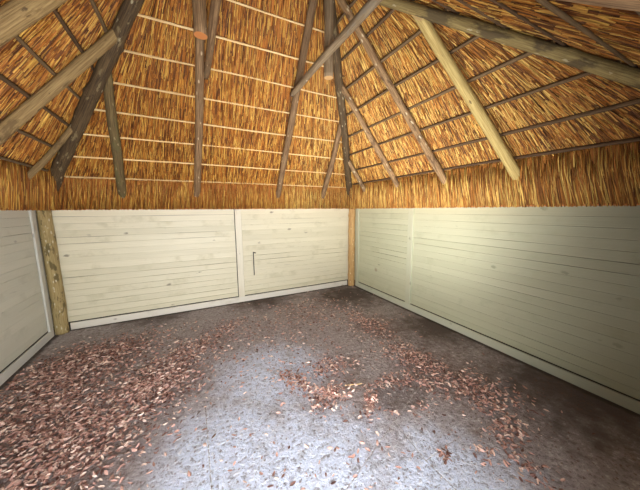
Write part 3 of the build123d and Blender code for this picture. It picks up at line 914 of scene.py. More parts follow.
# %% Reed finish
def build_reed(tree):
    """Straw: every reed has its own tint, is streaked along, and dirt gathers in dark stretches.

    The thatch is browner away from the right slope and darker over the doorway: both painted shade.
    """
    place, across, back_way = in_room(tree, "XY")
    grain, tint = in_stick(tree)
    streak = use(tree, fibre, Place=grain, Width=0.0045, Length=0.12)
    weather = use(tree, blotches, Place=place, Size=0.5, Amount=0.4, Softness=0.25)
    golden = use(tree, blotches, Place=place, Size=0.33, Amount=0.5, Softness=0.3)
    colour = coats(
        tree, (204, 134, 52), (golden, 1, (218, 152, 62)),
        (fade(tree, tint, 0.4, 1.0), 1, (255, 218, 120)),
        (fade(tree, tint, 0.4, 0.0), 1, (82, 46, 14)),
        (streak, 0.6, (104, 58, 20)), (weather, 0.4, (140, 90, 40)),
    )
    # Painted shade: browner and darker away from the brightly lit right slope.
    colour = blend(tree, fade(tree, across, 1.1, 0.5), colour, (247, 232, 204), "MULTIPLY")
    # Painted shade: darker over the doorway, towards the front.
    shade_near_door = fade(tree, back_way, -0.5, -1.8, 0.0, 0.7)
    colour = blend(tree, shade_near_door, colour, (206, 188, 152), "MULTIPLY")
    outside = fade(tree, value_of(tree, "sky"), 0.0, 1.0)
    colour = coats(tree, colour, (outside, 0.55, (138, 118, 92)))
    return {"Base Color": colour, "Roughness": 0.65, "Height": streak, "Strength": 0.6}


reed = finish("reed", build_reed)


# %% A crowd of reeds
def reed_tints(rng, count):
    """Mostly straw, some bright, some dark and rotten."""
    tint = rng.beta(1.1, 1.1, count)
    return np.where(rng.uniform(size=count) < 0.18, tint * 0.2, tint)


def reeds(rng, rings, out, thick, sky, tint=None):
    """Closed prisms: rings of centres (reeds, rings, 3), three corners round each centre.

    Corner k of a ring = centre + thick/2 (cos(a) side + sin(a) normal), with a turned by 120
    degrees each. The side is square to the reed and to the direction out.
    """
    count, sections = rings.shape[:2]
    axis = unit(rings[:, -1] - rings[:, 0])
    side = unit(np.cross(np.broadcast_to(out, axis.shape), axis))
    normal = np.cross(axis, side)
    thick = rng.uniform(*thick, count)
    tint = reed_tints(rng, count) if tint is None else tint
    roll = rng.uniform(0, 2 * pi, (count, 1, 1)) + np.arange(3) * 2 * pi / 3
    taper = np.ones(sections)
    taper[-1] = 0.6
    radius = (thick / 2)[:, None, None] * taper[:, None]
    a, b = radius * np.cos(roll), radius * np.sin(roll)
    ring = a[..., None] * side[:, None, None, :] + b[..., None] * normal[:, None, None, :]
    index = np.arange(sections * 3).reshape(sections, 3)
    s = np.linalg.norm(np.diff(rings, axis=1, prepend=rings[:, :1]), axis=-1).cumsum(1)
    starts = [rng.uniform(0, 60, (count, 1, 1)) for _ in range(2)]
    grain = np.stack([starts[0] + a, starts[1] + b, np.repeat(s[..., None], 3, axis=2)], axis=-1)
    shape = (count, sections * 3)
    return crowd(
        (rings[:, :, None, :] + ring).reshape(*shape, 3), ring_quads(index),
        np.array([index[0][::-1], index[-1]]), grain=grain.reshape(*shape, 3),
        tint=np.broadcast_to(tint[:, None], shape), sky=np.full(shape, float(sky)),
    )


def bulge(slope, rise):
    """Reeds swell down between the laths, as 5 mm times the sine squared from lath to lath."""
    return 0.005 * np.sin(pi * (rise - slope.lath_first) / lath_pitch) ** 2


def course_swell(rise):
    """Outside, each course stands 15 mm proud at its lower edge and sinks to nothing at its top."""
    course = (rise - course_first) / course_pitch
    return np.where((course > 0) & (course < course_rows), course_step * (1 - course % 1), 0.0)


# %% Where the doorway's trimmed thatch ends
arch_x, arch_z, arch_radius = -0.670, wall_top - 0.350, 0.650


def eaves_line(name, lift, place):
    """Distance of the eaves at a place. The front ones draw back to meet a round notch.

    The notch over the doorway is an arch, and far below beside it.
    """
    slope = slopes[name]
    if name != "front":
        return np.full(np.shape(place), slope.eaves)
    inside = np.clip(arch_radius**2 - (place - arch_x) ** 2, 0, None)
    arch = np.where(np.abs(place - arch_x) < arch_radius, arch_z + np.sqrt(inside), -9.0)
    return np.minimum(slope.eaves, slope.foot - (arch - lift - wall_top) / slope.rate)


# %% Thatch beds
def thatch_bed(name, rng, columns=44, rows=52):
    """A closed slab over one slope. Its profile goes up the underside and down the top.

    Both sides are waved by slow ripples, and the top is rounded off towards the hips.
    """
    slope = slopes[name]
    share = np.linspace(0, 1, columns)[:, None]
    sheets = []
    for lift in (0.0, thatch_height):
        far = np.full(share.shape, slope.eaves)
        for _ in range(8):
            far = eaves_line(name, lift, slope.between(far, share))
        distance = far + (slope.ridge + 0.004 - far) * np.linspace(0, 1, rows)[None, :]
        place, rise = slope.between(distance, share), slope.rise(distance)
        if lift:
            low, high = slope.edges(rise)
            to_hip = np.minimum(place - low, high - place)
            depth = 0.004 * ripple(rng, place, rise, length=0.7) - course_swell(rise)
            depth = depth + 0.012 * np.exp(-((to_hip / 0.08) ** 2))
        else:
            depth = -0.010 + bulge(slope, rise) + 0.003 * ripple(rng, place, rise, length=0.25)
        z = slope.rate * (slope.eaves - distance) / cos(slope.angle)
        grain = np.stack([place, np.full(place.shape, lift), z], axis=-1)
        sheets.append((slope.point(place, rise, depth) + up * lift, grain))
    face_share = np.linspace(0, 1, 6)[1:-1][None, :, None]

    def around(below, above):
        face = above[:, :1] + (below[:, :1] - above[:, :1]) * face_share
        return np.concatenate([below, above[:, ::-1], face], axis=1)

    grid, grain = (around(*pair) for pair in zip(*sheets))
    sky = np.concatenate([np.zeros(rows), np.ones(rows), np.full(4, 0.5)])
    sky = np.broadcast_to(sky, grid.shape[:2])
    # The bed's dark brown (tint 0.14) is painted shade where it shows between the reeds.
    return tube(grid, grain=grain, tint=np.full(grid.shape[:2], 0.14), sky=sky)


# %% Reeds laid on a slope
def slope_reeds(name, rng, count, lengths, thick, depths, sky=0.0):
    """Reeds spread evenly over a slope. Each runs uphill, leans a little and fans at the hips.

    The fan turns a reed by the hip's own angle times a power of how near the hip it lies.
    """
    slope = slopes[name]
    lift = thatch_height if sky else 0.0
    top_rise = ridge_rise if sky else ridge_rise - 0.02
    low_rise = slope.rise(slope.eaves) if sky else 0.28
    rise = rng.uniform(low_rise, top_rise, count * 3)
    reach = max(abs(edge) for edge in slope.edges(low_rise))
    place = rng.uniform(-reach, reach, count * 3)
    low, high = slope.edges(rise)
    margin = 0.01
    fits = (place > low + margin) & (place < high - margin)
    if name == "front":
        fits &= slope.distance(rise) <= eaves_line(name, lift, place) - 0.02
    rise, place = rise[fits][:count], place[fits][:count]
    count = len(rise)
    low, high = slope.edges(rise)
    near_hip = (place - (low + high) / 2) / ((high - low) / 2)
    up_length = ridge_rise / sin(slope.angle)
    (low_foot, high_foot), (low_top, high_top) = slope.edges(0.0), slope.edges(ridge_rise)
    lean_low = atan((low_top - low_foot) / up_length)
    lean_high = atan((high_foot - high_top) / up_length)
    fan = np.where(near_hip < 0, lean_low, -lean_high) * np.abs(near_hip) ** 1.7
    lean = fan + rng.normal(0, 0.055, count)
    length = rng.uniform(*lengths, count)
    v = np.array([[-0.5, 0.5]])
    ring_rise = rise[:, None] + v * (length * np.cos(lean) * sin(slope.angle))[:, None]
    ring_rise = np.clip(ring_rise, low_rise - 0.02, ridge_rise - 0.004)
    ring_place = place[:, None] + v * (length * np.sin(lean))[:, None]
    low, high = slope.edges(ring_rise)
    middle = (low + high) / 2
    ring_place = np.clip(
        ring_place, np.minimum(low + 0.004, middle), np.maximum(high - 0.004, middle)
    )
    foot_depth, head_depth = (rng.uniform(*pair, count)[:, None] for pair in depths)
    depth = foot_depth + (head_depth - foot_depth) * (v + 0.5)
    depth = depth - course_swell(ring_rise) if sky else depth + bulge(slope, ring_rise)
    rings = slope.point(ring_place, ring_rise, depth) + up * lift
    return reeds(rng, rings, slope.normal, thick, sky)


# %% Cut reed ends at the eaves
def eaves_reeds(name, rng, count):
    """Short reeds whose cut ends stand a few millimetres proud of the eaves face."""
    slope = slopes[name]
    share = rng.uniform(0.003, 0.997, count)
    across = rng.uniform(0, 1, count)
    far = np.full(count, slope.eaves)
    for _ in range(8):
        place = slope.between(far, share)
        under, top = (eaves_line(name, lift, place) for lift in (0.0, thatch_height))
        far = under * (1 - across) + top * across
    lower, upper = (
        slope.point(place, slope.rise(line_at), np.zeros(count)) for line_at in (under, top)
    )
    face = lower + (upper + up * thatch_height - lower) * across[:, None]
    way = -slope.uphill + slope.along * rng.normal(0, 0.12, count)[:, None]
    way = unit(way + slope.normal * rng.normal(0, 0.08, count)[:, None])
    proud = rng.uniform(-0.004, 0.014, count)[:, None]
    rings = np.stack([face - way * 0.05, face + way * proud], axis=1)
    return reeds(rng, rings, slope.normal, (0.007, 0.012), 0.35)


# %% Thatch on all four slopes
# Each has its number of reeds inside, their least and greatest thickness, and its reeds outside.
thatch_looks = {
    "back": (13500, (0.007, 0.012), 4200), "front": (5500, (0.005, 0.008), 4200),
    "right": (12500, (0.006, 0.0105), 3200), "left": (8000, (0.006, 0.0105), 3200),
}
under_depths = ((-0.005, 0.008), (-0.012, 0.002))
over_depths = ((-0.010, -0.001), (-0.002, 0.008))
rng = np.random.default_rng(47)
for name, (inside, thick, outside) in thatch_looks.items():
    beds = [thatch_bed(name, rng), eaves_reeds(name, rng, 1300)]
    new_piece(name + "_thatch_bed", beds, reed, [name + "_thatch"])
    under = slope_reeds(name, rng, inside, (0.14, 0.34), thick, under_depths)
    new_piece(name + "_thatch_reeds_inside", [under], reed, smooth=False)
    over = slope_reeds(name, rng, outside, (0.30, 0.70), (0.008, 0.014), over_depths, sky=1.0)
    new_piece(name + "_thatch_reeds_outside", [over], reed, smooth=False)

# %% [markdown]
# ## The hanging reed apron
# Below the lowest lath nothing holds the reeds back, so they hang into the room and cover the
# rafters' feet down to the wall top. The bed follows the CAD's profile, and the reeds on its face
# hang almost plumb with ragged ends.

# %% Reed aprons
# Each has its belly's rise, its depth at the foot and its number of reeds.
apron_low, belly_depth = 0.010, 0.110
apron_looks = {"back": (0.150, 0.176, 2300), "front": (0.150, 0.176, 1200),
               "right": (0.240, 0.226, 2300), "left": (0.240, 0.226, 2300)}


def apron_face(name, v):
    """Distance and rise of the apron's face from its foot (v = 0) to the lath (v = 1).

    It runs straight from the foot to the belly and from the belly to just under the lath.
    """
    slope, (belly_rise, foot_depth, _) = slopes[name], apron_looks[name]
    top = slope.lath_first - 0.011
    foot = slope.distance(apron_low) - foot_depth / sin(slope.angle)
    belly = slope.distance(belly_rise) - belly_depth / sin(slope.angle)
    head = slope.distance(top) - 0.012
    rise = apron_low + (top - apron_low) * v
    return np.interp(rise, [apron_low, belly_rise, top], [foot, belly, head]), rise


def corner_fill(share):
    """Near both ends of an apron the reeds bunch up: 60 mm at the hip, nothing 0.3 m from it."""
    return 0.060 * np.exp(-((np.minimum(share, 1 - share) / 0.035) ** 2))


def apron_bed(name, rng, columns=80):
    """A closed strip: up its face, then back down inside along the underside of the thatch."""
    slope = slopes[name]
    share = np.linspace(0, 1, columns)[:, None]
    distance, rise = apron_face(name, np.linspace(0, 1, 14)[None, :])
    distance, rise = np.broadcast_arrays(distance + 0.010 - corner_fill(share), rise)
    rear_rise = np.linspace(rise.max(), plate_top - wall_top + 0.002, 6)[None, :]
    rear = slope.distance(rear_rise) - 0.002
    rear, rear_rise = (np.repeat(row, columns, axis=0) for row in (rear, rear_rise))
    distance = np.concatenate([distance, rear], axis=1)
    rise = np.concatenate([rise, rear_rise], axis=1)
    place = slope.between(distance, share)
    distance = distance + 0.005 * ripple(rng, place, rise, length=0.3)
    grain = np.stack([place, np.zeros_like(place), rise], axis=-1)
    flat = np.zeros(place.shape)
    return tube(slope.at(distance, place, rise), grain=grain, tint=flat + 0.3, sky=flat)


def apron_reeds(name, rng, count):
    """Reeds on the apron's face, from the lowest lath to ragged ends at the wall top."""
    slope = slopes[name]
    top = rng.uniform(0.45, 1.05, count)
    length = rng.uniform(0.35, 0.95, count)
    foot = np.clip(top - length, -0.045, None)
    foot = np.where(rng.uniform(size=count) < 0.6, rng.uniform(-0.045, 0.03, count), foot)
    v = foot[:, None] + (top - foot)[:, None] * np.array([0, 0.6, 1])
    distance, rise = apron_face(name, v)
    distance = distance - rng.uniform(-0.002, 0.014, (count, 1)) * np.array([1.0, 1.1, 0.5])
    share = rng.uniform(0.004, 0.996, count)[:, None]
    distance = distance - corner_fill(share)
    lean = rng.normal(0, 0.06, (count, 1)) * (v - v[:, 2:]) * 0.4
    rings = slope.at(distance, slope.between(distance, share) + lean, rise)
    tint = np.clip(reed_tints(rng, count) + 0.08, 0, 1)
    return reeds(rng, rings, slope.normal, (0.005, 0.010), 0, tint)


for name, (_, _, count) in apron_looks.items():
    parts = [apron_bed(name, rng), apron_reeds(name, rng, count)]
    new_piece(name + "_apron_reeds", parts, reed, [name + "_apron"])

# %% [markdown]
# ## Ridge roll
# A thick roll of reeds lies along the ridge over the tops of the slopes. It is a tube with round
# ends, covered by long reeds that follow its length.

# %% Ridge roll
roll_radius = 0.150
roll_z = wall_top + ridge_rise + thatch_height - 0.060
roll_low, roll_high = (corner.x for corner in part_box("ridge_roll"))


def roll_round(x, least):
    """The roll's radius at x: full in the middle, and a quarter circle down to both ends."""
    end = np.clip(np.minimum(x - roll_low, roll_high - x) / roll_radius, least, 1)
    return np.sqrt(1 - (1 - end) ** 2)


def ridge_roll(rng, count):
    """A round bundle with its own reeds, which lie along it on its upper side."""
    x = np.linspace(roll_low, roll_high, 48)[:, None]
    a = np.linspace(0, 2 * pi, 32, endpoint=False)[None, :]
    radius = (roll_radius - 0.008) * roll_round(x, 0.02)
    radius = radius * (1 + 0.02 * ripple(rng, x, np.cos(a), np.sin(a), length=0.8))
    grid = np.stack(
        [x + 0 * a, ridge_y + radius * np.cos(a), roll_z + radius * np.sin(a)], axis=-1
    )
    flat = np.ones(grid.shape[:2])
    bed = tube(grid, grain=grid[..., [1, 2, 0]], tint=flat * 0.35, sky=flat)
    length = rng.uniform(0.3, 0.8, count)
    mid = rng.uniform(roll_low + 0.1, roll_high - 0.1, count)
    xs = np.clip(mid[:, None] + np.array([-0.5, 0, 0.5]) * length[:, None], roll_low, roll_high)
    rr = roll_radius * roll_round(xs, 0.03) + rng.uniform(-0.012, 0.002, (count, 1))
    angle = rng.uniform(-0.4, pi + 0.4, count)[:, None] + rng.normal(0, 0.04, (count, 3))
    rings = np.stack([xs, ridge_y + rr * np.cos(angle), roll_z + rr * np.sin(angle)], axis=-1)
    out = unit((rings[:, 1] - np.array([0, ridge_y, roll_z])) * (0, 1, 1))
    return [bed, reeds(rng, rings, out, (0.007, 0.012), 1.0)]


new_piece("ridge_roll_reeds", ridge_roll(rng, 1200), reed, ["ridge_roll"])

# %% [markdown]
# ## Concrete floor
# The floor is old concrete: gently uneven and scored into bays. Pale bluish patches are painted
# light where the doorway's light falls, the dark brown at the far walls and near the right wall is
# dirt and painted shadow, and pale flecks on the bumps are painted highlights. The slab keeps the
# CAD's size and its top gets a slight unevenness. Stains and lines are placed as named spots on
# the floor.

# %% Floor slab
floor_marks = [
    ((-0.662, 0.127), (-0.671, -2.058)), ((-0.60, -1.228), (0.598, -0.740)),
    ((0.598, -0.740), (0.565, -1.063)), ((0.565, -1.063), (0.866, -1.049)),
    ((0.565, -1.063), (0.62, -2.028)), ((0.598, -0.740), (1.36, -0.448)),
]
# Painted light: pale bluish pools where the doorway's light falls on the floor.
painted_light_patches = [
    (-0.15, -0.83, 0.85), (0.55, -1.28, 0.65), (-0.55, -0.38, 0.65), (-0.05, 0.27, 0.75)
]
# Dirt and painted shadow: dark brown at the far walls, and the door jamb's shadow near the right
# wall.
dirt_and_shadow_patches = [
    (2.2, -1.23, 1.15), (2.2, 0.20, 0.9), (1.9, 1.87, 1.1), (0.4, 2.37, 0.8), (-1.2, 2.47, 0.7)
]
litter_patches = [
    (-1.75, 1.30, 0.85), (-1.85, 0.50, 0.85), (-1.50, -0.15, 0.7), (-1.00, 0.60, 0.5),
    (1.42, -0.45, 0.6), (1.45, 0.60, 0.5),
]
bare_patch = (0.84, -0.53, 0.27)
soot_mark = (-1.21, 0.68, 0.13)


def build_concrete(tree):
    """Grey cement, sandy grain, painted light, dirt and painted shadow, painted highlights, cracks,
    scored lines.
    """
    place, across, back_way = in_room(tree, "XY")
    level = stretch(tree, place, 0.0)
    cloud = use(tree, blotches, Place=place, Size=0.45, Amount=0.5, Softness=0.3)
    stain = use(tree, blotches, Place=place, Size=0.16, Amount=0.4, Softness=0.16)
    crumbs = use(tree, flecks, Place=place, Size=0.022, Amount=0.16)
    grit = use(tree, flecks, Place=place, Size=0.009, Amount=0.25)
    fine, rough = noise(tree, place, 180.0, 3.0, 0.7), noise(tree, place, 26.0, 6.0, 0.7)
    # pale is painted light; dark is dirt and painted shadow.
    pale, dark = spots(tree, level, painted_light_patches, 0.25), spots(tree, level, dirt_and_shadow_patches, 0.1)
    bare, litter = spots(tree, level, [bare_patch], 0.6), spots(tree, level, litter_patches, 0.2)
    soot = spots(tree, level, [soot_mark], 0.0)
    # The floor outside the patches of dirt and painted shadow.
    lit_and_clean = calc(tree, "SUBTRACT", 1.0, dark)
    # Painted highlights: pale flecks on the tops of the bumps, only where the floor is lit.
    painted_bump_highlights = times(tree, fade(tree, rough, 0.54, 0.66, 0.0, 0.5), lit_and_clean)
    to_wall = [
        calc(tree, "SUBTRACT", half, calc(tree, "ABSOLUTE", way))
        for half, way in ((half_width, across), (half_depth, back_way))
    ]
    ragged = times(tree, noise(tree, place, 9.0, 5.0), 0.08)
    edge = calc(tree, "SUBTRACT", calc(tree, "MINIMUM", *to_wall), ragged)
    marks = strongest(tree, [
        use(tree, line, Place=level, Start=(*start, 0), End=(*end, 0), Width=0.016)
        for start, end in floor_marks
    ])
    colour = coats(
        tree, (172, 166, 170), (cloud, 1, (138, 124, 118)), (pale, 0.9, (216, 228, 252)),
        (dark, 0.85, (58, 44, 34)), (bare, 0.55, (96, 84, 80)), (litter, 0.5, (122, 98, 90)),
        (soot, 0.8, (34, 30, 32)), (fade(tree, rough, 0.48, 0.36, 0.0, 0.6), 1, (92, 80, 74)),
        (painted_bump_highlights, 1, (236, 236, 240)), (stain, 0.35, (112, 98, 90)),
        (fade(tree, edge, 0.05, 0.0, 0.0, 0.85), 1, (56, 48, 42)),
        (fade(tree, marks, 0.0, 0.25), 0.35, (214, 210, 206)),
        (fade(tree, marks, 0.25, 0.6, 0.0, 0.75), 1, (78, 70, 68)),
        (crumbs, 0.6, (110, 76, 60)), (grit, 0.5, (76, 66, 60)),
    )
    height = calc(tree, "ADD", times(tree, fine, 0.15), times(tree, rough, 1.6))
    height = calc(tree, "SUBTRACT", height, times(tree, marks, 0.5))
    height = calc(tree, "ADD", height, times(tree, crumbs, 0.3))
    return {
        "Base Color": colour, "Roughness": 0.95, "Height": height, "Strength": 1.0, "Deep": 0.018
    }


concrete = finish("concrete", build_concrete)


def slab(rng, count=60):
    """A closed slab: height of the top = its middle + wave times ripple, and level at the rim.

    One grid of points is the top, the same grid lies level at the bottom, and a strip of faces
    round the rim joins them.
    """
    wave, level_rim = 0.0015, 0.2
    low, high = (np.array(corner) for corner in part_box("floor_slab"))
    x, y = (np.linspace(low[k], high[k], count) for k in range(2))
    x, y = np.meshgrid(x, y, indexing="ij")
    inside = np.minimum(np.minimum(x - low[0], high[0] - x), np.minimum(y - low[1], high[1] - y))
    still = np.clip(inside / level_rim, 0, 1)
    top = high[2] - wave + wave * still * ripple(rng, x, y, length=0.8)
    upper, lower = (
        np.stack([x, y, z], axis=-1).reshape(-1, 3) for z in (top, np.full(x.shape, low[2]))
    )
    index = np.arange(count * count).reshape(count, count)
    quads = np.stack([index[:-1, :-1], index[1:, :-1], index[1:, 1:], index[:-1, 1:]], axis=-1)
    quads = quads.reshape(-1, 4)
    rim = np.concatenate([index[:-1, 0], index[-1, :-1], index[:0:-1, -1], index[0, :0:-1]])
    after = np.roll(rim, -1)
    wall = np.stack([rim, rim + count**2, after + count**2, after], axis=-1)
    faces = np.concatenate([quads, quads[:, ::-1] + count**2, wall])
    return closed_part(np.concatenate([upper, lower]), faces, ())


new_piece("floor_slab_concrete", [slab(rng)], concrete, ["floor_slab"], smooth=False)

# %% [markdown]
# ## Dry leaves
# Wind has blown reddish-brown leaves through the doorway, into drifts on the left, in the middle
# and along the right. Each leaf is a closed lens of sixteen triangles: it is widest in the
# middle, its edges curl up, and its ends lift. A drift is a soft cloud of such leaves.


# %% Leaf finish
def build_leaf(tree):
    """Red-brown to tan by leaf, with small dark speckles."""
    grain, tint = in_stick(tree)
    vein = use(tree, fibre, Place=grain, Width=0.004, Length=0.02)
    colour = coats(
        tree, (94, 62, 56), (fade(tree, tint, 0.0, 0.55), 1, (212, 170, 158)),
        (fade(tree, tint, 0.5, 0.95), 1, (252, 232, 220)), (vein, 0.35, (92, 54, 42)),
    )
    return {"Base Color": colour, "Roughness": 0.7, "Height": vein, "Strength": 0.3}


leaf_finish = finish("dry_leaf", build_leaf)

# %% Drifts of leaves
# Each has its centre, its half lengths, its turn in degrees and its number of leaves.
drifts = [
    (-1.75, 1.37, 0.75, 0.45, 20, 850), (-1.85, 0.62, 0.50, 0.70, 0, 1050),
    (-1.45, 0.07, 0.45, 0.55, -20, 800), (-1.05, 0.62, 0.35, 0.45, 0, 560),
    (-0.75, 1.02, 0.30, 0.28, 30, 170), (-0.40, 1.37, 0.45, 0.16, 35, 130),
    (0.12, -0.03, 0.10, 0.30, 20, 90), (0.30, -0.28, 0.22, 0.14, 20, 110),
    (0.50, 0.07, 0.25, 0.16, -10, 110), (0.52, -0.55, 0.16, 0.05, 40, 40),
    (0.95, -0.43, 0.25, 0.10, -15, 50), (1.45, 0.62, 0.20, 0.50, 0, 170),
    (1.35, -0.18, 0.22, 0.45, 10, 230), (1.45, -0.83, 0.28, 0.40, 25, 260),
    (1.25, -1.18, 0.18, 0.12, 0, 60), (0.70, -1.11, 0.05, 0.05, 0, 9),
    (0.93, -1.21, 0.08, 0.07, 0, 14), (1.08, -1.38, 0.12, 0.16, 0, 40),
    (0.20, 0.97, 1.60, 0.90, 0, 230), (1.00, 1.47, 0.80, 0.70, 0, 170),
    (-0.30, -1.13, 0.90, 0.60, 0, 60), (0.00, 0.17, 2.10, 2.00, 0, 260),
]
leaves_per_count = 2
ring_leaves = 120
scrap_count = 1500


def off_walls(places, gap):
    """Only the places that keep this gap to all four walls."""
    return places[(np.abs(places) < (half_width - gap, half_depth - gap)).all(axis=1)]


def leaf_places(rng):
    """Positions from all drifts: normal clouds, turned and stretched, kept off the walls.

    One more ring of leaves lies round a bare patch: its radius times a normal chance near 1.
    """
    angle = rng.uniform(0, 2 * pi, ring_leaves)
    ring = np.stack([np.cos(angle), np.sin(angle) * 0.75], axis=1)
    heaps = [bare_patch[:2] + bare_patch[2] * rng.normal(1.08, 0.12, (ring_leaves, 1)) * ring]
    for x, y, long, wide, turn, count in drifts:
        cloud = rng.normal(0, 0.5, (leaves_per_count * count, 2)) * (long, wide)
        c, s = cos(radians(turn)), sin(radians(turn))
        heaps.append(cloud @ np.array([[c, s], [-s, c]]) + (x, y))
    return off_walls(np.concatenate(heaps), 0.06)


def leaves(rng, places, sizes):
    """Closed lenses on the grid v (along the rib) by four corners round each inner station.

    Half width = wide * sin(pi v)^0.7, the edges lift by curl, and the ends lift by bow.
    """
    count = len(places)
    length = rng.uniform(*sizes, count)[:, None]
    wide = length * rng.uniform(0.32, 0.50, (count, 1))
    curl = rng.uniform(0.1, 0.7, (count, 1)) * wide
    bow = rng.uniform(0.0, 0.28, (count, 1)) * length
    v = np.array([0.28, 0.68])
    half = wide / 2 * np.sin(pi * v) ** 0.7
    stations = np.zeros((count, 2, 4, 3))
    stations[..., 0] = (length * (v - 0.5))[..., None]
    stations[..., 0, 1], stations[..., 2, 1] = half, -half
    stations[..., 2] = (bow * (2 * v - 1) ** 2)[..., None]
    stations[..., ::2, 2] += (curl * half / wide * 2)[..., None]
    stations[..., 1, 2] += 0.0012
    stations[..., 3, 2] -= 0.0006
    tips = np.zeros((count, 2, 3))
    tips[:, 0, 0], tips[:, 1, 0] = -length[:, 0] / 2, length[:, 0] / 2
    tips[..., 2] = bow
    local = np.concatenate([stations.reshape(count, 8, 3), tips], axis=1)
    local[..., 1:] *= np.where(rng.uniform(size=(count, 1)) < 0.35, -1.0, 1.0)[..., None]
    tilt = rng.normal(0, 0.16, (count, 2))
    local[..., 2] += local[..., 0] * tilt[:, :1] + local[..., 1] * tilt[:, 1:] * 2
    local[..., 2] -= local[..., 2].min(axis=1, keepdims=True)
    yaw = rng.uniform(0, 2 * pi, (count, 1))
    c, s = np.cos(yaw), np.sin(yaw)
    placed = np.stack([
        places[:, :1] + local[..., 0] * c - local[..., 1] * s,
        places[:, 1:] + local[..., 0] * s + local[..., 1] * c,
        local[..., 2] + floor_top + rng.uniform(0, 0.012, (count, 1)),
    ], axis=-1)
    k = np.arange(4)
    n = (k + 1) % 4
    quads = np.stack([k, n, 4 + n, 4 + k], axis=-1)[:, ::-1]
    tris = np.stack([8 + 0 * k, n, k, 9 + 0 * k, 4 + k, 4 + n], axis=-1).reshape(-1, 3)[:, ::-1]
    grain = local[..., [1, 2, 0]] + rng.uniform(0, 40, (count, 1, 1))
    tint = np.repeat(rng.beta(1.1, 1.3, count), 10).reshape(count, 10)
    return crowd(placed, quads, tris, grain=grain, tint=tint)


rng = np.random.default_rng(59)
whole = leaf_places(rng)
scraps = whole[rng.permutation(len(whole))[:scrap_count]] + rng.normal(0, 0.14, (scrap_count, 2))
new_piece("dry_leaves", [leaves(rng, whole, (0.024, 0.046))], leaf_finish, slot="", smooth=False)
scraps = leaves(rng, off_walls(scraps, 0.05), (0.008, 0.018))
new_piece("leaf_scraps", [scraps], leaf_finish, slot="", smooth=False)
stick_low, stick_high = (0.48, -0.24, floor_top + 0.004), (0.63, -0.29, floor_top + 0.004)
stick = pole(rng, stick_low, stick_high, (0.009, 0.006), bend=0.004, knots=1, sides=8, step=0.02,
             tint=1.0)
new_piece("fallen_stick", [stick], lath_wood, slot="")


# %% Iron hook
def build_iron(tree):
    """Black iron with brown rust in patches."""
    place, = in_room(tree)
    rust = use(tree, blotches, Place=place, Size=0.05, Amount=0.35, Softness=0.1)
    colour = blend(tree, rust, (36, 34, 36), (74, 50, 38))
    return {
        "Base Color": colour, "Metallic": 0.6, "Roughness": 0.5, "Height": rust, "Strength": 0.3
    }


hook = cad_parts["wall_hook"]
hook.data.materials.clear()
hook.data.materials.append(finish("black_iron", build_iron))
print("triangles added:", sum(triangle_count.values()))

# %% [markdown]
# ## Camera, light and stage
# The camera looks from just inside the doorway with a very wide lens, a little downwards and to
# the right. Soft light comes in behind it and from the pale floor, as on a bright day. Outside
# there is only a plain pale floor and an even sky.

# %% Camera
focal_pixels, picture_width = 255.0, 640
pitch_down, roll, heading = radians(7.92), radians(0.36), radians(26.83)
eye = Vector((-0.669, -2.027, 1.703))
level_forward = Vector((sin(heading), cos(heading), 0))
forward = level_forward * cos(pitch_down) - Vector((0, 0, sin(pitch_down)))
level_right = Vector((cos(heading), -sin(heading), 0))
level_down = forward.cross(level_right)
right = cos(roll) * level_right + sin(roll) * level_down
down = cos(roll) * level_down - sin(roll) * level_right
camera_data = bpy.data.cameras.new("camera")
camera_data.sensor_width = 36
camera_data.lens = 36 * focal_pixels / picture_width
camera_data.clip_start = 0.02
camera = bpy.data.objects.new("camera", camera_data)
bpy.context.scene.collection.objects.link(camera)
turned = Matrix((right, -down, -forward)).transposed().to_4x4()
camera.matrix_world = Matrix.Translation(eye) @ turned
bpy.context.scene.camera = camera
print("lens", round(camera_data.lens, 2), "mm")

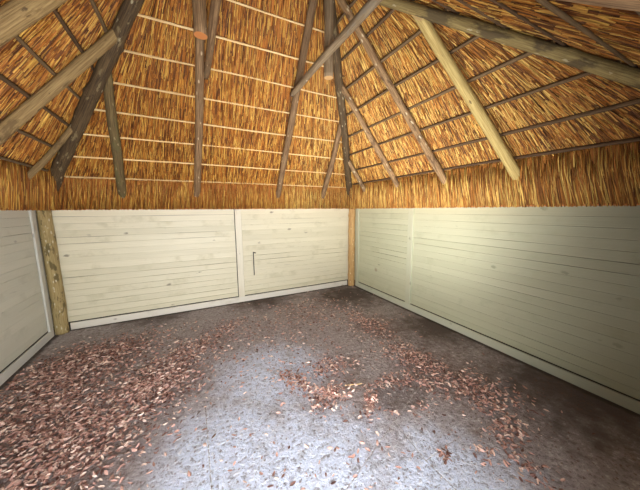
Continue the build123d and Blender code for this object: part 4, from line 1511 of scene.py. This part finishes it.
# %% Light
# Each lamp has its place, its target, its size, its watts, its colour and its spread in degrees.
lamps = {
    "doorway_light": ((-0.67, -2.47, 0.95), (0.1, 2.4, 1.9), (0.84, 1.44), 100,
                      (1.0, 0.99, 0.97), 132),
    "doorway_sky": ((-0.67, -2.45, 1.6), (0.15, -0.9, 0.1), (0.9, 0.3), 11,
                    (0.88, 0.94, 1.0), 120),
    "floor_bounce": ((0.4, -0.6, 0.3), (1.7, 0.9, 2.5), (1.0, 0.8), 41, (1.0, 0.96, 0.90), 95),
    "room_fill": ((0.0, 0.0, 2.35), (0.0, 0.2, 0.0), (1.8, 1.4), 3, (0.97, 0.98, 1.0), 180),
    "sky_left": ((-6, -7, 7), (0, 0, 1.5), (6, 6), 900, (1.0, 0.98, 0.95), 180),
    "sky_right": ((8, 5, 8), (0, 0, 1.5), (6, 6), 600, (0.95, 0.98, 1.0), 180),
}
for name, (place, target, size, watts, colour, spread) in lamps.items():
    data = bpy.data.lights.new(name, "AREA")
    data.shape = "RECTANGLE"
    data.size, data.size_y = size
    data.energy, data.spread, data.color = watts, radians(spread), colour
    lamp = bpy.data.objects.new(name, data)
    bpy.context.scene.collection.objects.link(lamp)
    lamp.location = place
    aim = Vector(target) - Vector(place)
    lamp.rotation_euler = aim.to_track_quat("-Z", "Y").to_euler()
    lamp.visible_camera = False
world = bpy.data.worlds.new("even_sky")
world.use_nodes = True
even_light = world.node_tree.nodes["Background"].inputs
even_light["Color"].default_value = (0.86, 0.9, 0.95, 1)
even_light["Strength"].default_value = 0.55
bpy.context.scene.world = world
bpy.context.scene.view_settings.view_transform = "Standard"
print("lamps:", list(lamps))

# %% Stage
stage_reach, stage_drop = 30, 0.001
stage_corners = [(x * stage_reach, y * stage_reach, -stage_drop)
                 for x, y in ((-1, -1), (1, -1), (1, 1), (-1, 1))]
stage_mesh = bpy.data.meshes.new("stage")
stage_mesh.from_pydata(stage_corners, [], [(0, 1, 2, 3)])
stage_finish = bpy.data.materials.new("stage")
stage_finish.use_nodes = True
plain = stage_finish.node_tree.nodes["Principled BSDF"].inputs
plain["Base Color"].default_value = (0.7, 0.7, 0.68, 1)
stage_mesh.materials.append(stage_finish)
stage = bpy.data.objects.new("stage", stage_mesh)
bpy.context.scene.collection.objects.link(stage)
